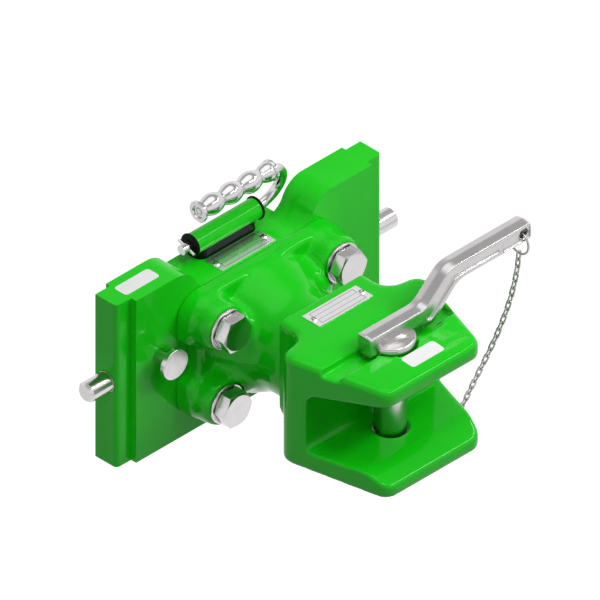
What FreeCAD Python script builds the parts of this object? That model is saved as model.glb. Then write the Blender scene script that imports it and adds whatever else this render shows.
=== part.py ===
import FreeCAD, Part
import math
import os
import re
from types import SimpleNamespace
from FreeCAD import Placement, Rotation, Vector
import Sketcher

# Transport hitch for a tractor's height-adjustment rails.
# Origin: on the axis of the two lock pins' plane, midway across the frame, at the height of the
# swivel axis. +X is across the frame, -Y points out of the jaw, +Z is up. Millimetres.

SIZES = [
    # Slide frame
    ("frame_width", 311, "across both tongues, the standard rail size"),
    ("tongue_thick", 25, "thickness of a tongue, the standard rail slot less its play"),
    ("tongue_round", 4, "fillet on the tongues' front edges"),
    ("frame_top", 84, "shoulders above the swivel axis"),
    ("frame_bottom", 80.5, "foot of the frame below the swivel axis"),
    ("tongue_reach", 17, "how far a tongue stands out of the middle block"),
    ("block_front", 18.5, "front face of the block ahead of the lock pins"),
    ("block_rear", 17, "rear face of the block behind the lock pins"),
    ("saddle_top", 57.5, "flat saddle above the swivel axis"),
    ("saddle_half", 62.7, "half width of the saddle at its corner"),
    ("saddle_round", 20, "concave radius at the saddle"),
    ("shoulder_half", 76.1, "half distance between the shoulders' corners"),
    ("shoulder_round", 25, "convex radius of the shoulders"),
    ("housing_half", 72, "half width of the rear housing"),
    ("housing_bottom", 52, "foot of the rear housing below the swivel axis"),
    ("housing_rear", 30, "rear face of the housing behind the lock pins"),
    ("housing_round", 12, "corner radius of the rear housing"),
    # Lock pins and lift plate
    ("lock_radius", 9.25, "radius of a lock pin's outer end"),
    ("lock_step", 0.3, "how much thicker a lock pin is inside the frame"),
    ("lock_play", 0.08, "radial play of a lock pin in its bore"),
    ("lock_rise", 1.6, "lock pins above the swivel axis"),
    ("lock_reach", 24.5, "how far a lock pin stands out of its tongue"),
    ("lock_inner", 34, "inner end of a lock pin from the middle"),
    ("lock_chamfer", 2, "chamfer on a lock pin's outer end"),
    ("mouth_chamfer", 1.2, "chamfer at the mouth of a lock pin's bore"),
    ("lift_travel", 26, "how far the lift plate rises"),
    ("follower_radius", 5, "radius of a follower stud"),
    ("follower_place", 44, "follower stud from the middle"),
    ("follower_play", 0.25, "play of a follower in its slot"),
    ("plate_thick", 8, "thickness of the lift plate"),
    ("plate_half", 55, "half width of the lift plate"),
    ("plate_play", 0.4, "play round the lift plate"),
    ("plate_margin", 7, "metal below the lift plate's slots"),
    ("neck_half", 34, "half length of the lift block"),
    ("neck_width", 16, "width of the lift block"),
    ("roof_thick", 10.5, "roof of the chamber under the saddle"),
    ("spring_place", 45, "lift spring from the middle"),
    ("spring_radius", 4.4, "mean radius of a lift spring"),
    ("spring_wire", 0.7, "radius of a lift spring's wire"),
    ("spring_turns", 7, "turns of a lift spring"),
    ("spring_back", 1.2, "lift spring behind the plate's middle"),
    # Rear cover
    ("cover_half", 67, "half width of the rear cover"),
    ("cover_height", 92, "height of the rear cover"),
    ("cover_thick", 4, "thickness of the rear cover"),
    ("cover_play", 0.3, "gap round the rear cover"),
    ("screw_radius", 3, "radius of a cover screw"),
    ("screw_head", 5, "radius of a cover screw's head"),
    ("screw_head_thick", 3.2, "height of a cover screw's head"),
    ("screw_length", 12, "length of a cover screw"),
    ("screw_half_width", 61.4, "cover screws from the middle"),
    ("screw_half_height", 38, "cover screws above and below the axis"),
    # Fold handle
    ("tube_axis_back", 18.1, "handle tube behind the lock pins"),
    ("tube_axis_top", 72.3, "handle tube above the swivel axis"),
    ("tube_radius", 9.5, "radius of the handle tube"),
    ("tube_half", 37, "half length of the handle tube"),
    ("end_ring_radius", 10.75, "radius of a tube end ring"),
    ("end_ring_thick", 2, "thickness of a tube end ring"),
    ("rod_radius", 4.5, "radius of the handle rod"),
    ("rod_play", 0.3, "radial play of the rod in its tube"),
    ("rod_end", 49, "left end of the rod's lower leg"),
    ("handle_offset", 45, "grip axis from the tube axis"),
    ("handle_tilt", 17.5, "forward lean of the handle at rest, degrees"),
    ("cotter_radius", 1.5, "radius of the handle's cross pin"),
    ("cotter_length", 19.5, "length of the handle's cross pin"),
    ("cotter_place", 42.6, "cross pin from the middle"),
    ("grip_left", 43.5, "left end of the grip"),
    ("grip_right", 44, "right end of the grip"),
    ("grip_flange", 9.75, "radius of the grip's end flanges"),
    ("grip_bead", 9, "radius of a grip bead"),
    ("grip_waist", 6.6, "radius between two beads"),
    ("grip_beads", 4, "beads on the grip"),
    ("last_bead", 0.8, "length of the last bead as a share of the others"),
    ("grip_flange_thick", 4, "thickness of the grip's end flanges"),
    ("grip_flare", 0.8, "flare of the grip's bore where the rod starts to bend"),
    # Bearing housing and its bolts
    ("bolt_half_x", 67.6, "bearing bolts from the middle"),
    ("bolt_half_z", 37.85, "bearing bolts above and below the axis"),
    ("bolt_radius", 9.95, "radius of a bearing bolt's shank"),
    ("bolt_flats", 30, "across flats of a bolt head"),
    ("bolt_head", 12.5, "height of a bolt head"),
    ("bolt_depth", 28, "bolt thread inside the slide frame"),
    ("bolt_play", 0.05, "radial play round a bolt"),
    ("washer_radius", 18.5, "radius of a bolt washer"),
    ("washer_thick", 3, "thickness of a bolt washer"),
    ("boss_radius", 24.5, "radius of a bolt boss at its foot"),
    ("boss_top_radius", 21.5, "radius of a bolt boss at its face"),
    ("boss_height", 34, "boss face ahead of the slide frame"),
    ("flange_thick", 15, "thickness of the bearing flange"),
    ("flange_waist", 79, "half width of the flange's waist"),
    ("neck_radius", 47.5, "radius of the bearing neck at its mouth"),
    ("flare_radius", 62, "radius of the bearing body at the flange"),
    ("housing_length", 78.7, "length of the bearing housing"),
    ("ridge_radius", 19, "radius of the ridges from boss to neck"),
    # Swivel
    ("shaft_radius", 25, "radius of the swivel shaft"),
    ("shaft_play", 0.05, "radial play of the shaft in its bush"),
    ("bush_wall", 4, "wall of the swivel bush"),
    ("bush_flange", 8, "extra radius of the bush's flange"),
    ("bush_flange_thick", 4, "thickness of the bush's flange"),
    ("nut_cavity", 41, "radius of the cavity behind the bush"),
    ("nut_cavity_depth", 36, "depth of the cavity behind the bush"),
    ("thread_radius", 21, "radius of the shaft's thread"),
    ("nut_flats", 65, "across flats of the swivel nut"),
    ("nut_height", 24, "height of the swivel nut"),
    ("nut_slot", 6, "width of the nut's slots"),
    ("nut_slot_depth", 8, "depth of the nut's slots"),
    ("thrust_radius", 37, "radius of the thrust washer"),
    ("thrust_thick", 4, "thickness of the thrust washer"),
    ("split_radius", 2.4, "radius of the split pin"),
    ("swivel_gap", 0.3, "running gap between neck and jaw"),
    # Jaw
    ("jaw_half_rear", 50, "half width of the jaw's rear block"),
    ("jaw_top", 58, "top of the rear block above the axis"),
    ("jaw_bottom", 50, "foot of the rear block below the axis"),
    ("jaw_under_round", 27, "round of the rear block's lower edges"),
    ("ear_half", 86, "half width of the jaw at its ears"),
    ("ear_ahead", 130, "ears ahead of the lock pins"),
    ("ear_round", 13, "corner radius of the ears"),
    ("web_front", 155.5, "back of the mouth ahead of the lock pins"),
    ("jaw_front", 230.5, "front of the jaw ahead of the lock pins"),
    ("jaw_half_front", 55.5, "half width of the jaw at its front"),
    ("jaw_front_round", 14, "corner radius at the jaw's front"),
    ("jaw_edge_round", 6, "round of the jaw's top edges"),
    ("jaw_foot_round", 2, "round of the jaw's foot edges"),
    ("mouth_round", 2.5, "round of the mouth's edges"),
    ("jaw_crease", 148, "where the jaw's top starts to slope, ahead of the lock pins"),
    ("top_front", 52.5, "top of the upper plate at the front"),
    ("upper_back", 25, "underside of the upper plate at the web"),
    ("upper_front", 37, "underside of the upper plate at the front"),
    ("lower_back", 31.3, "face of the lower plate at the web, below the axis"),
    ("lower_front", 44.5, "face of the lower plate at the lip, below the axis"),
    ("lip_back", 20, "length of the lower plate's lip"),
    ("foot_back", 46, "underside of the lower plate at the ears"),
    ("foot_front", 55.5, "underside of the lower plate at the front"),
    ("groove_width", 17.6, "width of the lever groove"),
    ("groove_floor", 49.5, "floor of the lever groove above the axis"),
    ("recess_radius", 23.5, "radius of the collar recess"),
    # Coupling pin, lever and chain
    ("pin_ahead", 178.3, "coupling pin ahead of the lock pins"),
    ("pin_radius", 14, "radius of the coupling pin"),
    ("pin_play_top", 0.5, "radial play in the upper plate"),
    ("pin_play_foot", 1.9, "radial play in the lower plate"),
    ("pin_foot", 66, "lower end of the coupling pin below the axis"),
    ("pin_taper", 7, "length of the coupling pin's taper"),
    ("collar_radius", 22, "radius of the pin's collar"),
    ("collar_foot", 50.5, "underside of the collar above the axis"),
    ("collar_top", 60, "flat top of the collar above the axis"),
    ("dome_top", 66, "top of the collar's dome above the axis"),
    ("lever_width", 16, "width of the lever"),
    ("lever_left", 30.4, "left end of the lever from the pin"),
    ("lever_low_top", 73.4, "top of the lever's low arm"),
    ("lever_rise_start", 33, "where the lever's top starts to rise"),
    ("lever_rise_end", 63, "where the lever's top stops rising"),
    ("lever_high_top", 100, "top of the lever's high arm"),
    ("lever_high_foot", 83.6, "underside of the lever's high arm"),
    ("lever_right", 158, "right end of the lever from the pin"),
    ("lever_step", 10, "how far the underside rises beyond the top"),
    ("lever_groove", 2, "depth of the lever's side grooves"),
    ("lever_hole", 4.75, "radius of the lever's chain hole"),
    ("lever_hole_x", 151, "chain hole from the pin"),
    ("lever_hole_z", 90.5, "chain hole above the axis"),
    ("ring_radius", 11.2, "mean radius of the chain ring"),
    ("ring_wire", 1.0, "radius of the chain ring's wire"),
    ("chain_play", 0.05, "play between the chain and what it hangs in"),
    ("eye_neck", 4, "anchor eye's neck outside the ear"),
    ("link_pitch", 7.3, "pitch of the chain"),
    ("link_outer", 10.5, "outer length of a chain link"),
    ("link_width", 5.6, "outer width of a chain link"),
    ("link_wire", 1.5, "thickness of a chain link"),
    ("eye_radius", 4.4, "mean radius of the anchor eye"),
    ("eye_wire", 1.0, "wire radius of the anchor eye"),
    ("eye_ahead", 136, "anchor eye ahead of the lock pins"),
    ("eye_down", 34, "anchor eye below the swivel axis"),
    # Hook stud and nameplates
    ("stud_inset", 43.2, "hook stud from the frame's left end"),
    ("stud_z", 16.5, "hook stud above the axis"),
    ("stud_radius", 6, "radius of the hook stud's stem"),
    ("stud_head", 14.25, "radius of the hook stud's head"),
    ("stud_head_thick", 4.5, "thickness of the hook stud's head"),
    ("stud_reach", 21, "hook stud's face ahead of the frame"),
    ("stud_depth", 14, "hook stud's tail inside the frame"),
    ("badge_length", 63, "length of a nameplate"),
    ("badge_width", 21, "width of a nameplate"),
    ("badge_thick", 0.8, "thickness of a nameplate"),
    ("rivet_place", 28, "nameplate rivet from the plate's middle"),
    ("rivet_head", 3.4, "radius of a rivet head"),
    ("rivet_head_thick", 1.2, "height of a rivet head"),
    ("rivet_radius", 1.6, "radius of a rivet's shank"),
    ("rivet_depth", 5, "rivet's depth below its plate"),
    ("frame_badge_back", 2, "saddle nameplate ahead of the lock pins"),
    ("jaw_badge_ahead", 116.5, "jaw nameplate ahead of the lock pins"),
]

doc = FreeCAD.newDocument("TransportHitch")
sheet = doc.addObject("Spreadsheet::Sheet", "Sizes")
for row, (alias, value, note) in enumerate(SIZES, start=1):
    sheet.set(f"A{row}", alias)
    sheet.set(f"B{row}", str(value))
    sheet.set(f"C{row}", note)
    sheet.setAlias(f"B{row}", alias)
doc.recompute()
size = SimpleNamespace(**{alias: float(sheet.get(alias)) for alias, _, _ in SIZES})

PLANES = {
    "XY": Rotation(),
    "XZ": Rotation(Vector(1, 0, 0), 90),
    "YZ": Rotation(Vector(1, 1, 1), 120),
}
TURNS = {
    "X": Rotation(Vector(0, 1, 0), 90),
    "-X": Rotation(Vector(0, 1, 0), -90),
    "Y": Rotation(Vector(1, 0, 0), -90),
    "-Y": Rotation(Vector(1, 0, 0), 90),
    "Z": Rotation(),
}
WAYS = {"X": Vector(1, 0, 0), "-X": Vector(-1, 0, 0), "Y": Vector(0, 1, 0),
        "-Y": Vector(0, -1, 0), "Z": Vector(0, 0, 1)}
nodes = []


def tied(formula):
    """The formula with every size name pointing at its cell of the sheet."""
    return re.sub(r"[a-z]+(?:_[a-z]+)+", r"Sizes.\g<0>", str(formula))


def bind(item, place=None, **formulas):
    """Ties an object's properties, and its place, to the sheet."""
    for prop, formula in formulas.items():
        item.setExpression(prop, tied(formula))
    for letter, formula in zip("xyz", place or ()):
        item.setExpression(f"Placement.Base.{letter}", tied(formula))
    return item


def keep(item, label):
    """Names an object as a finished sub-part."""
    item.Label = label
    nodes.append(item)
    return item


def cylinder(name, radius, length, place, way="Z"):
    """A cylinder from its start point along one axis."""
    item = doc.addObject("Part::Cylinder", name)
    item.Placement = Placement(Vector(), TURNS[way])
    return bind(item, place, Radius=radius, Height=length)


def cone(name, foot, top, length, place, way="Z"):
    """A cone or taper from its start point along one axis."""
    item = doc.addObject("Part::Cone", name)
    item.Placement = Placement(Vector(), TURNS[way])
    return bind(item, place, Radius1=foot, Radius2=top, Height=length)


def box(name, length, width, height, place):
    """A box from its lowest corner."""
    return bind(doc.addObject("Part::Box", name), place, Length=length, Width=width, Height=height)


def hexagon(name, flats, height, place, way="Z"):
    """A hexagonal prism from its start point along one axis."""
    item = doc.addObject("Part::Prism", name)
    item.Polygon = 6
    item.Placement = Placement(Vector(), TURNS[way])
    return bind(item, place, Circumradius=f"({flats}) / sqrt(3)", Height=height)


def torus(name, radius, wire, place, way="Z"):
    """A closed ring of round wire."""
    item = doc.addObject("Part::Torus", name)
    item.Placement = Placement(Vector(), TURNS[way])
    return bind(item, place, Radius1=radius, Radius2=wire)


def fuse(name, shapes):
    """One solid made of several."""
    item = doc.addObject("Part::MultiFuse", name)
    item.Shapes = shapes
    item.Refine = True
    return item


def cut(name, base, tools):
    """The base less one tool, or less several."""
    item = doc.addObject("Part::Cut", name)
    item.Base = base
    item.Tool = tools[0] if len(tools) == 1 else fuse(name + "_tools", tools)
    item.Refine = True
    return item


def common(name, first, second):
    """What two solids share."""
    item = doc.addObject("Part::Common", name)
    item.Base = first
    item.Tool = second
    item.Refine = True
    return item


def group(name, shapes):
    """Separate solids that share one sub-part."""
    item = doc.addObject("Part::Compound", name)
    item.Links = shapes
    return item


def corner_pieces(corners):
    """Lines and tangent arcs of a closed outline through corners given as (x, y, radius)."""
    spots = [Vector(c[0], c[1], 0) for c in corners]
    cuts = []
    for k, corner in enumerate(corners):
        radius = corner[2] if len(corner) > 2 else 0
        here = spots[k]
        back = (spots[k - 1] - here).normalize()
        ahead = (spots[(k + 1) % len(spots)] - here).normalize()
        if not radius:
            cuts.append((here, None, here))
            continue
        half = back.getAngle(ahead) / 2
        reach = radius / math.tan(half)
        middle = (back + ahead).normalize() * (radius / math.sin(half) - radius)
        cuts.append((here + back * reach, here + middle, here + ahead * reach))
    pieces = []
    for k, (start, middle, end) in enumerate(cuts):
        if middle:
            pieces.append(Part.Arc(start, middle, end))
        following = cuts[(k + 1) % len(cuts)][0]
        if (following - end).Length > 1e-6:
            pieces.append(Part.LineSegment(end, following))
    return pieces


def fill_sketch(sketch, outlines):
    """Draws closed outlines, and circles given as (x, y, radius formula), in a sketch."""
    for outline in outlines:
        if isinstance(outline, tuple):
            x, y, radius = outline
            index = sketch.addGeometry(Part.Circle(Vector(x, y, 0), Vector(0, 0, 1), 1))
            rule = sketch.addConstraint(Sketcher.Constraint("Radius", index, 1.0))
            sketch.setExpression(f"Constraints[{rule}]", tied(radius))
            continue
        sketch.addGeometry(corner_pieces(outline))
    return sketch


def drawing(name, plane, offset, outlines):
    """A free sketch on a plane; offset is the plane's height along its own axis."""
    sketch = doc.addObject("Sketcher::SketchObject", name)
    sketch.Placement = Placement(Vector(), PLANES[plane])
    letter = {"XY": "z", "XZ": "y", "YZ": "x"}[plane]
    sketch.setExpression(f"Placement.Base.{letter}", tied(offset))
    return fill_sketch(sketch, outlines)


def extrude(name, sketch, way, length):
    """A solid pulled out of a sketch along one axis."""
    item = doc.addObject("Part::Extrusion", name)
    item.Base = sketch
    item.DirMode = "Custom"
    item.Dir = WAYS[way]
    item.Solid = True
    return bind(item, LengthFwd=length)


def revolve(name, sketch, axis, place):
    """A solid spun from a sketch about an axis through a place."""
    item = doc.addObject("Part::Revolution", name)
    item.Source = sketch
    item.Axis = WAYS[axis]
    item.Angle = 360
    item.Solid = True
    for letter, formula in zip("xyz", place):
        item.setExpression(f"Base.{letter}", tied(formula))
    return item


def fillet(name, base, radius, wanted):
    """Rounds the edges of a solid that a test picks."""
    doc.recompute()
    item = doc.addObject("Part::Fillet", name)
    item.Base = base
    picked = [k for k, edge in enumerate(base.Shape.Edges, start=1) if wanted(edge)]
    item.Edges = [(k, radius, radius) for k in picked]
    return item


def plane_of(body, role):
    """One of a body's own origin planes."""
    return next(f for f in body.Origin.OriginFeatures if f.Role == role)


def body_sketch(body, name, plane, offset, outlines):
    """A sketch on one of a body's origin planes, moved along the plane's normal."""
    sketch = body.newObject("Sketcher::SketchObject", name)
    sketch.AttachmentSupport = (plane_of(body, plane + "_Plane"), "")
    sketch.MapMode = "FlatFace"
    sketch.setExpression("AttachmentOffset.Base.z", tied(offset))
    return fill_sketch(sketch, outlines)


def pad(body, name, sketch, length, back=False):
    """Adds the sketch's prism to a body."""
    item = body.newObject("PartDesign::Pad", name)
    item.Profile = sketch
    item.Reversed = back
    return bind(item, Length=length)


def pocket(body, name, sketch, length, back=False):
    """Cuts the sketch's prism out of a body, and checks that it cuts."""
    doc.recompute()
    before = body.Shape.Volume
    item = body.newObject("PartDesign::Pocket", name)
    item.Profile = sketch
    item.Reversed = back
    bind(item, Length=length)
    doc.recompute()
    if body.Shape.Volume > before - 1e-3:
        raise RuntimeError(f"{name} cuts nothing")
    return item


def mirrored(outline):
    """A right half outline, from its first to its last corner, closed by its left half."""
    left = [(-c[0],) + tuple(c[1:]) for c in reversed(outline)]
    return outline + left


def rectangle(x0, y0, x1, y1, radius=0):
    """Corners of a rectangle with one corner radius."""
    return [(x0, y0, radius), (x1, y0, radius), (x1, y1, radius), (x0, y1, radius)]


# Slide frame: a thick middle block with a saddle, two tongues and a rear housing
frame = doc.addObject("PartDesign::Body", "frame_body")
half_block = size.frame_width / 2 - size.tongue_reach
block_outline = mirrored([
    (half_block, -size.frame_bottom),
    (half_block, size.frame_top),
    (size.shoulder_half, size.frame_top, size.shoulder_round),
    (size.saddle_half, size.saddle_top, size.saddle_round),
])
sketch = body_sketch(frame, "block_outline", "XZ", "block_front", [block_outline])
pad(frame, "block", sketch, "block_front + block_rear", back=True)
half_frame = size.frame_width / 2
tongue_outline = mirrored([
    (half_frame, -size.frame_bottom),
    (half_frame, size.frame_top),
    (size.shoulder_half, size.frame_top, size.shoulder_round),
    (size.saddle_half, size.saddle_top, size.saddle_round),
])
sketch = body_sketch(frame, "tongue_outline", "XZ", "tongue_thick / 2", [tongue_outline])
pad(frame, "tongues", sketch, "tongue_thick", back=True)
housing_outline = rectangle(-size.housing_half, -size.housing_bottom, size.housing_half,
                            size.saddle_top, size.housing_round)
housing_outline[2] = (size.housing_half - 12, size.saddle_top)
housing_outline[3] = (12 - size.housing_half, size.saddle_top)
sketch = body_sketch(frame, "housing_outline", "XZ", "-block_rear", [housing_outline])
pad(frame, "rear_housing", sketch, "housing_rear - block_rear", back=True)
plate_front = size.tube_axis_back - size.plate_thick / 2
chamber_top = size.saddle_top - size.roof_thick
chamber_foot = (size.lock_rise - size.lift_travel - size.follower_radius - size.plate_margin
                - size.plate_play - 2)
chamber = rectangle(-size.plate_half - size.plate_play, chamber_foot,
                    size.plate_half + size.plate_play, chamber_top)
sketch = body_sketch(frame, "chamber_outline", "XZ", "-housing_rear", [chamber])
pocket(frame, "chamber", sketch,
       "housing_rear - tube_axis_back + plate_thick / 2 + plate_play", back=True)
half_cover = size.cover_height / 2
rebate = rectangle(-size.cover_half - size.cover_play, -half_cover - size.cover_play,
                   size.cover_half + size.cover_play, half_cover + size.cover_play, 8)
sketch = body_sketch(frame, "rebate_outline", "XZ", "-housing_rear", [rebate])
pocket(frame, "cover_rebate", sketch, "cover_thick", back=True)
follower_slots = []
for side in (-1, 1):
    near = side * (size.follower_place - size.lift_travel)
    far = side * size.follower_place
    reach = size.follower_radius + size.plate_play
    follower_slots.append(rectangle(min(near, far) - reach, size.lock_rise - reach,
                                    max(near, far) + reach, size.lock_rise + reach, reach - 0.01))
sketch = body_sketch(frame, "follower_slots", "XZ", "-housing_rear", follower_slots)
pocket(frame, "follower_slot", sketch, "housing_rear", back=True)
screw_holes = [(x * size.screw_half_width, z * size.screw_half_height, "screw_radius")
               for x in (-1, 1) for z in (-1, 1)]
sketch = body_sketch(frame, "cover_screw_holes", "XZ", "-housing_rear", [screw_holes[0],
                     screw_holes[1], screw_holes[2], screw_holes[3]])
pocket(frame, "cover_holes", sketch, "screw_length + 1", back=True)
bolt_spots = [(x * size.bolt_half_x, z * size.bolt_half_z) for x in (-1, 1) for z in (-1, 1)]
bolt_holes = [(x, z, "bolt_radius + bolt_play") for x, z in bolt_spots]
sketch = body_sketch(frame, "bolt_hole_outlines", "XZ", "block_front", bolt_holes)
pocket(frame, "bolt_holes", sketch, "bolt_depth + 2", back=False)
stud_hole = [(size.stud_inset - half_frame, size.stud_z, "stud_radius")]
sketch = body_sketch(frame, "stud_hole_outline", "XZ", "block_front", stud_hole)
pocket(frame, "stud_hole", sketch, "stud_depth", back=False)
lock_bore = [(0, size.lock_rise, "lock_radius + lock_step + lock_play")]
sketch = body_sketch(frame, "lock_bore_outline", "YZ", "-frame_width / 2 - 1", lock_bore)
pocket(frame, "lock_bore", sketch, "frame_width + 2", back=True)
half_neck = size.neck_width / 2
neck_slot = [(x, y, half_neck + size.plate_play - 0.01) for x, y, _ in rectangle(
    -size.neck_half - size.plate_play, size.tube_axis_back - half_neck - size.plate_play,
    size.neck_half + size.plate_play, size.tube_axis_back + half_neck + size.plate_play)]
sketch = body_sketch(frame, "neck_slot_outline", "XY", "saddle_top", [neck_slot])
pocket(frame, "neck_slot", sketch, "roof_thick + 1", back=False)
rivet_holes = [(x * size.rivet_place, -size.frame_badge_back, "rivet_radius") for x in (-1, 1)]
sketch = body_sketch(frame, "saddle_rivet_holes", "XY", "saddle_top", rivet_holes)
pocket(frame, "saddle_rivets", sketch, "rivet_depth", back=False)
bore_radius = "lock_radius + lock_step + lock_play"
mouths = [cone(f"lock_mouth_{way}", f"{bore_radius} + mouth_chamfer + 0.1", bore_radius,
               "mouth_chamfer + 0.1", (f"{sign}(frame_width / 2 + 0.1)", 0, "lock_rise"), turn)
          for way, sign, turn in (("left", "-", "X"), ("right", "", "-X"))]


def tongue_edge(edge):
    """True for the upright front edges of the tongues."""
    b = edge.BoundBox
    upright = b.ZLength > size.frame_top and b.XLength + b.YLength < 0.01
    return upright and abs(b.YMin + size.tongue_thick / 2) < 0.01 and abs(b.XMin) > half_block + 1


rounded_frame = fillet("frame_rounded", frame, size.tongue_round, tongue_edge)
keep(cut("slide_frame_cut", rounded_frame, mouths), "slide_frame")

# Rear cover with its four screws
cover = doc.addObject("PartDesign::Body", "rear_cover_body")
cover_outline = rectangle(-size.cover_half, -half_cover, size.cover_half, half_cover, 8)
sketch = body_sketch(cover, "cover_outline", "XZ", "-housing_rear", [cover_outline] + [
    (x, z, "screw_radius + 0.2") for x, z, _ in screw_holes])
pad(cover, "cover_plate", sketch, "cover_thick", back=False)
keep(cover, "rear_cover")
screws = []
for k, (x, z, _) in enumerate(screw_holes):
    head = cylinder(f"cover_screw_head_{k}", "screw_head", "screw_head_thick",
                    (x, "housing_rear", z), "Y")
    shank = cylinder(f"cover_screw_shank_{k}", "screw_radius", "screw_length",
                     (x, "housing_rear", z), "-Y")
    socket = hexagon(f"cover_screw_socket_{k}", "screw_head", "screw_head_thick / 2",
                     (x, "housing_rear + screw_head_thick / 2", z), "Y")
    screws.append(cut(f"cover_screw_{k}", fuse(f"cover_screw_solid_{k}", [head, shank]), [socket]))
keep(group("rear_cover_screws", screws), "rear_cover_screws")

# Lock pins, each with a follower stud that runs in the lift plate's sloping slot
for side, sign, way in (("left", "-", "-X"), ("right", "", "X")):
    shank = cylinder(f"{side}_pin_shank", "lock_radius + lock_step",
                     "frame_width / 2 - lock_inner", (f"{sign}lock_inner", 0, "lock_rise"), way)
    reach = cylinder(f"{side}_pin_reach", "lock_radius", "lock_reach - lock_chamfer",
                     (f"{sign}frame_width / 2", 0, "lock_rise"), way)
    tip = cone(f"{side}_pin_tip", "lock_radius", "lock_radius - lock_chamfer", "lock_chamfer",
               (f"{sign}(frame_width / 2 + lock_reach - lock_chamfer)", 0, "lock_rise"), way)
    stud_place = (f"{sign}follower_place", 0, "lock_rise")
    hole = cylinder(f"{side}_pin_hole", "follower_radius", "lock_radius + 1", stud_place, "Y")
    keep(cut(f"{side}_pin", fuse(f"{side}_pin_solid", [shank, reach, tip]), [hole]),
         f"{side}_lock_pin")
    keep(cylinder(f"{side}_follower_rod", "follower_radius",
                  "tube_axis_back + plate_thick / 2 + 1", stud_place, "Y"), f"{side}_follower")

# Lift plate with two sloping slots, and the block that carries the handle tube
lift = doc.addObject("PartDesign::Body", "lift_plate_body")
slot_reach = size.follower_radius + size.follower_play
plate_foot = size.lock_rise - size.lift_travel - size.follower_radius - size.plate_margin
plate_shoulder = size.lock_rise + size.follower_radius + 3
neck_top = chamber_top - 1
plate_outline = mirrored([
    (size.plate_half - 14, plate_foot, 6),
    (size.plate_half, plate_foot + 18, 6),
    (size.plate_half, plate_shoulder, 2),
    (size.neck_half - 4, plate_shoulder, 4),
    (size.neck_half - 4, neck_top),
])
sloping_slots = []
for side in (-1, 1):
    outer = Vector(side * size.follower_place, size.lock_rise, 0)
    inner = Vector(side * (size.follower_place - size.lift_travel),
                   size.lock_rise - size.lift_travel, 0)
    along = (inner - outer).normalize()
    across = Vector(-along.y, along.x, 0) * slot_reach
    ends = [outer - along * slot_reach, inner + along * slot_reach]
    ring = [ends[0] + across, ends[1] + across, ends[1] - across, ends[0] - across]
    sloping_slots.append([(p.x, p.y, slot_reach - 0.01) for p in ring])
sketch = body_sketch(lift, "plate_outline", "XZ", "-tube_axis_back - plate_thick / 2",
                     [plate_outline] + sloping_slots)
pad(lift, "plate", sketch, "plate_thick", back=False)
keep(lift, "lift_plate")
block_plan = [(x, y, half_neck - 0.01) for x, y, _ in rectangle(
    -size.neck_half, size.tube_axis_back - half_neck,
    size.neck_half, size.tube_axis_back + half_neck)]
block = extrude("lift_block_prism", drawing("lift_block_plan", "XY", "saddle_top - roof_thick - 1",
                                            [block_plan]),
                "Z", "tube_axis_top - saddle_top + roof_thick + 1")
seat = cylinder("lift_block_seat", "tube_radius", "2 * tube_half",
                ("-tube_half", "tube_axis_back", "tube_axis_top"), "X")
keep(cut("lift_block_cut", block, [seat]), "lift_block")

# Lift springs, coiled between the plate's shoulders and the chamber's roof
springs = []
for side in (-1, 1):
    coil = doc.addObject("Part::Helix", f"spring_coil_{side}")
    spring_foot = plate_shoulder + size.spring_wire + 0.05
    spring_rise = chamber_top - plate_shoulder - 2 * size.spring_wire - 0.1
    coil.Pitch = spring_rise / size.spring_turns
    coil.Height = spring_rise
    coil.Radius = size.spring_radius
    coil.Placement = Placement(Vector(side * size.spring_place,
                                      size.tube_axis_back + size.spring_back, spring_foot),
                               Rotation())
    section = doc.addObject("Part::Circle", f"spring_section_{side}")
    section.Radius = size.spring_wire
    section.Placement = Placement(coil.Placement.Base + Vector(size.spring_radius, 0, 0),
                                  Rotation(Vector(1, 0, 0), 90))
    sweep = doc.addObject("Part::Sweep", f"lift_spring_{side}")
    sweep.Sections = [section]
    sweep.Spine = (coil, [])
    sweep.Solid = True
    sweep.Frenet = True
    springs.append(sweep)
keep(group("lift_springs", springs), "lift_springs")

# Handle tube with its end rings
tube_place = ("-tube_half", "tube_axis_back", "tube_axis_top")
tube = cylinder("tube_outside", "tube_radius", "2 * tube_half", tube_place, "X")
tube_bore = cylinder("tube_bore", "rod_radius + rod_play", "2 * tube_half", tube_place, "X")
keep(cut("handle_tube_cut", tube, [tube_bore]), "handle_tube")
rings = []
for side, start in (("left", "-tube_half - end_ring_thick"), ("right", "tube_half")):
    ring_place = (start, "tube_axis_back", "tube_axis_top")
    rim = cylinder(f"{side}_ring_rim", "end_ring_radius", "end_ring_thick", ring_place, "X")
    hole = cylinder(f"{side}_ring_hole", "rod_radius + rod_play", "end_ring_thick",
                    ring_place, "X")
    rings.append(cut(f"{side}_end_ring", rim, [hole]))
keep(group("tube_end_rings", rings), "tube_end_rings")

# Fold handle: a rod bent into a U, a beaded grip on its upper leg and a cross pin at its end
lean = math.radians(size.handle_tilt)
leaning = Vector(0, -math.sin(lean), math.cos(lean))
tube_centre = Vector(0, size.tube_axis_back, size.tube_axis_top)
grip_centre = tube_centre + leaning * size.handle_offset
bend_start = size.tube_half + size.end_ring_thick
bend_middle = Vector(bend_start + size.handle_offset / 2, 0, 0)
lower_leg = [tube_centre + Vector(-size.rod_end, 0, 0), tube_centre + Vector(bend_start, 0, 0)]
upper_leg = [grip_centre + Vector(bend_start, 0, 0),
             grip_centre + Vector(1.5 - size.grip_left, 0, 0)]
rod_path = Part.Wire([
    Part.LineSegment(*lower_leg).toShape(),
    Part.Arc(lower_leg[1], tube_centre + leaning * (size.handle_offset / 2) + bend_middle,
             upper_leg[0]).toShape(),
    Part.LineSegment(*upper_leg).toShape(),
])
rod_section = Part.Wire(Part.Circle(lower_leg[0], Vector(1, 0, 0), size.rod_radius).toShape())
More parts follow.
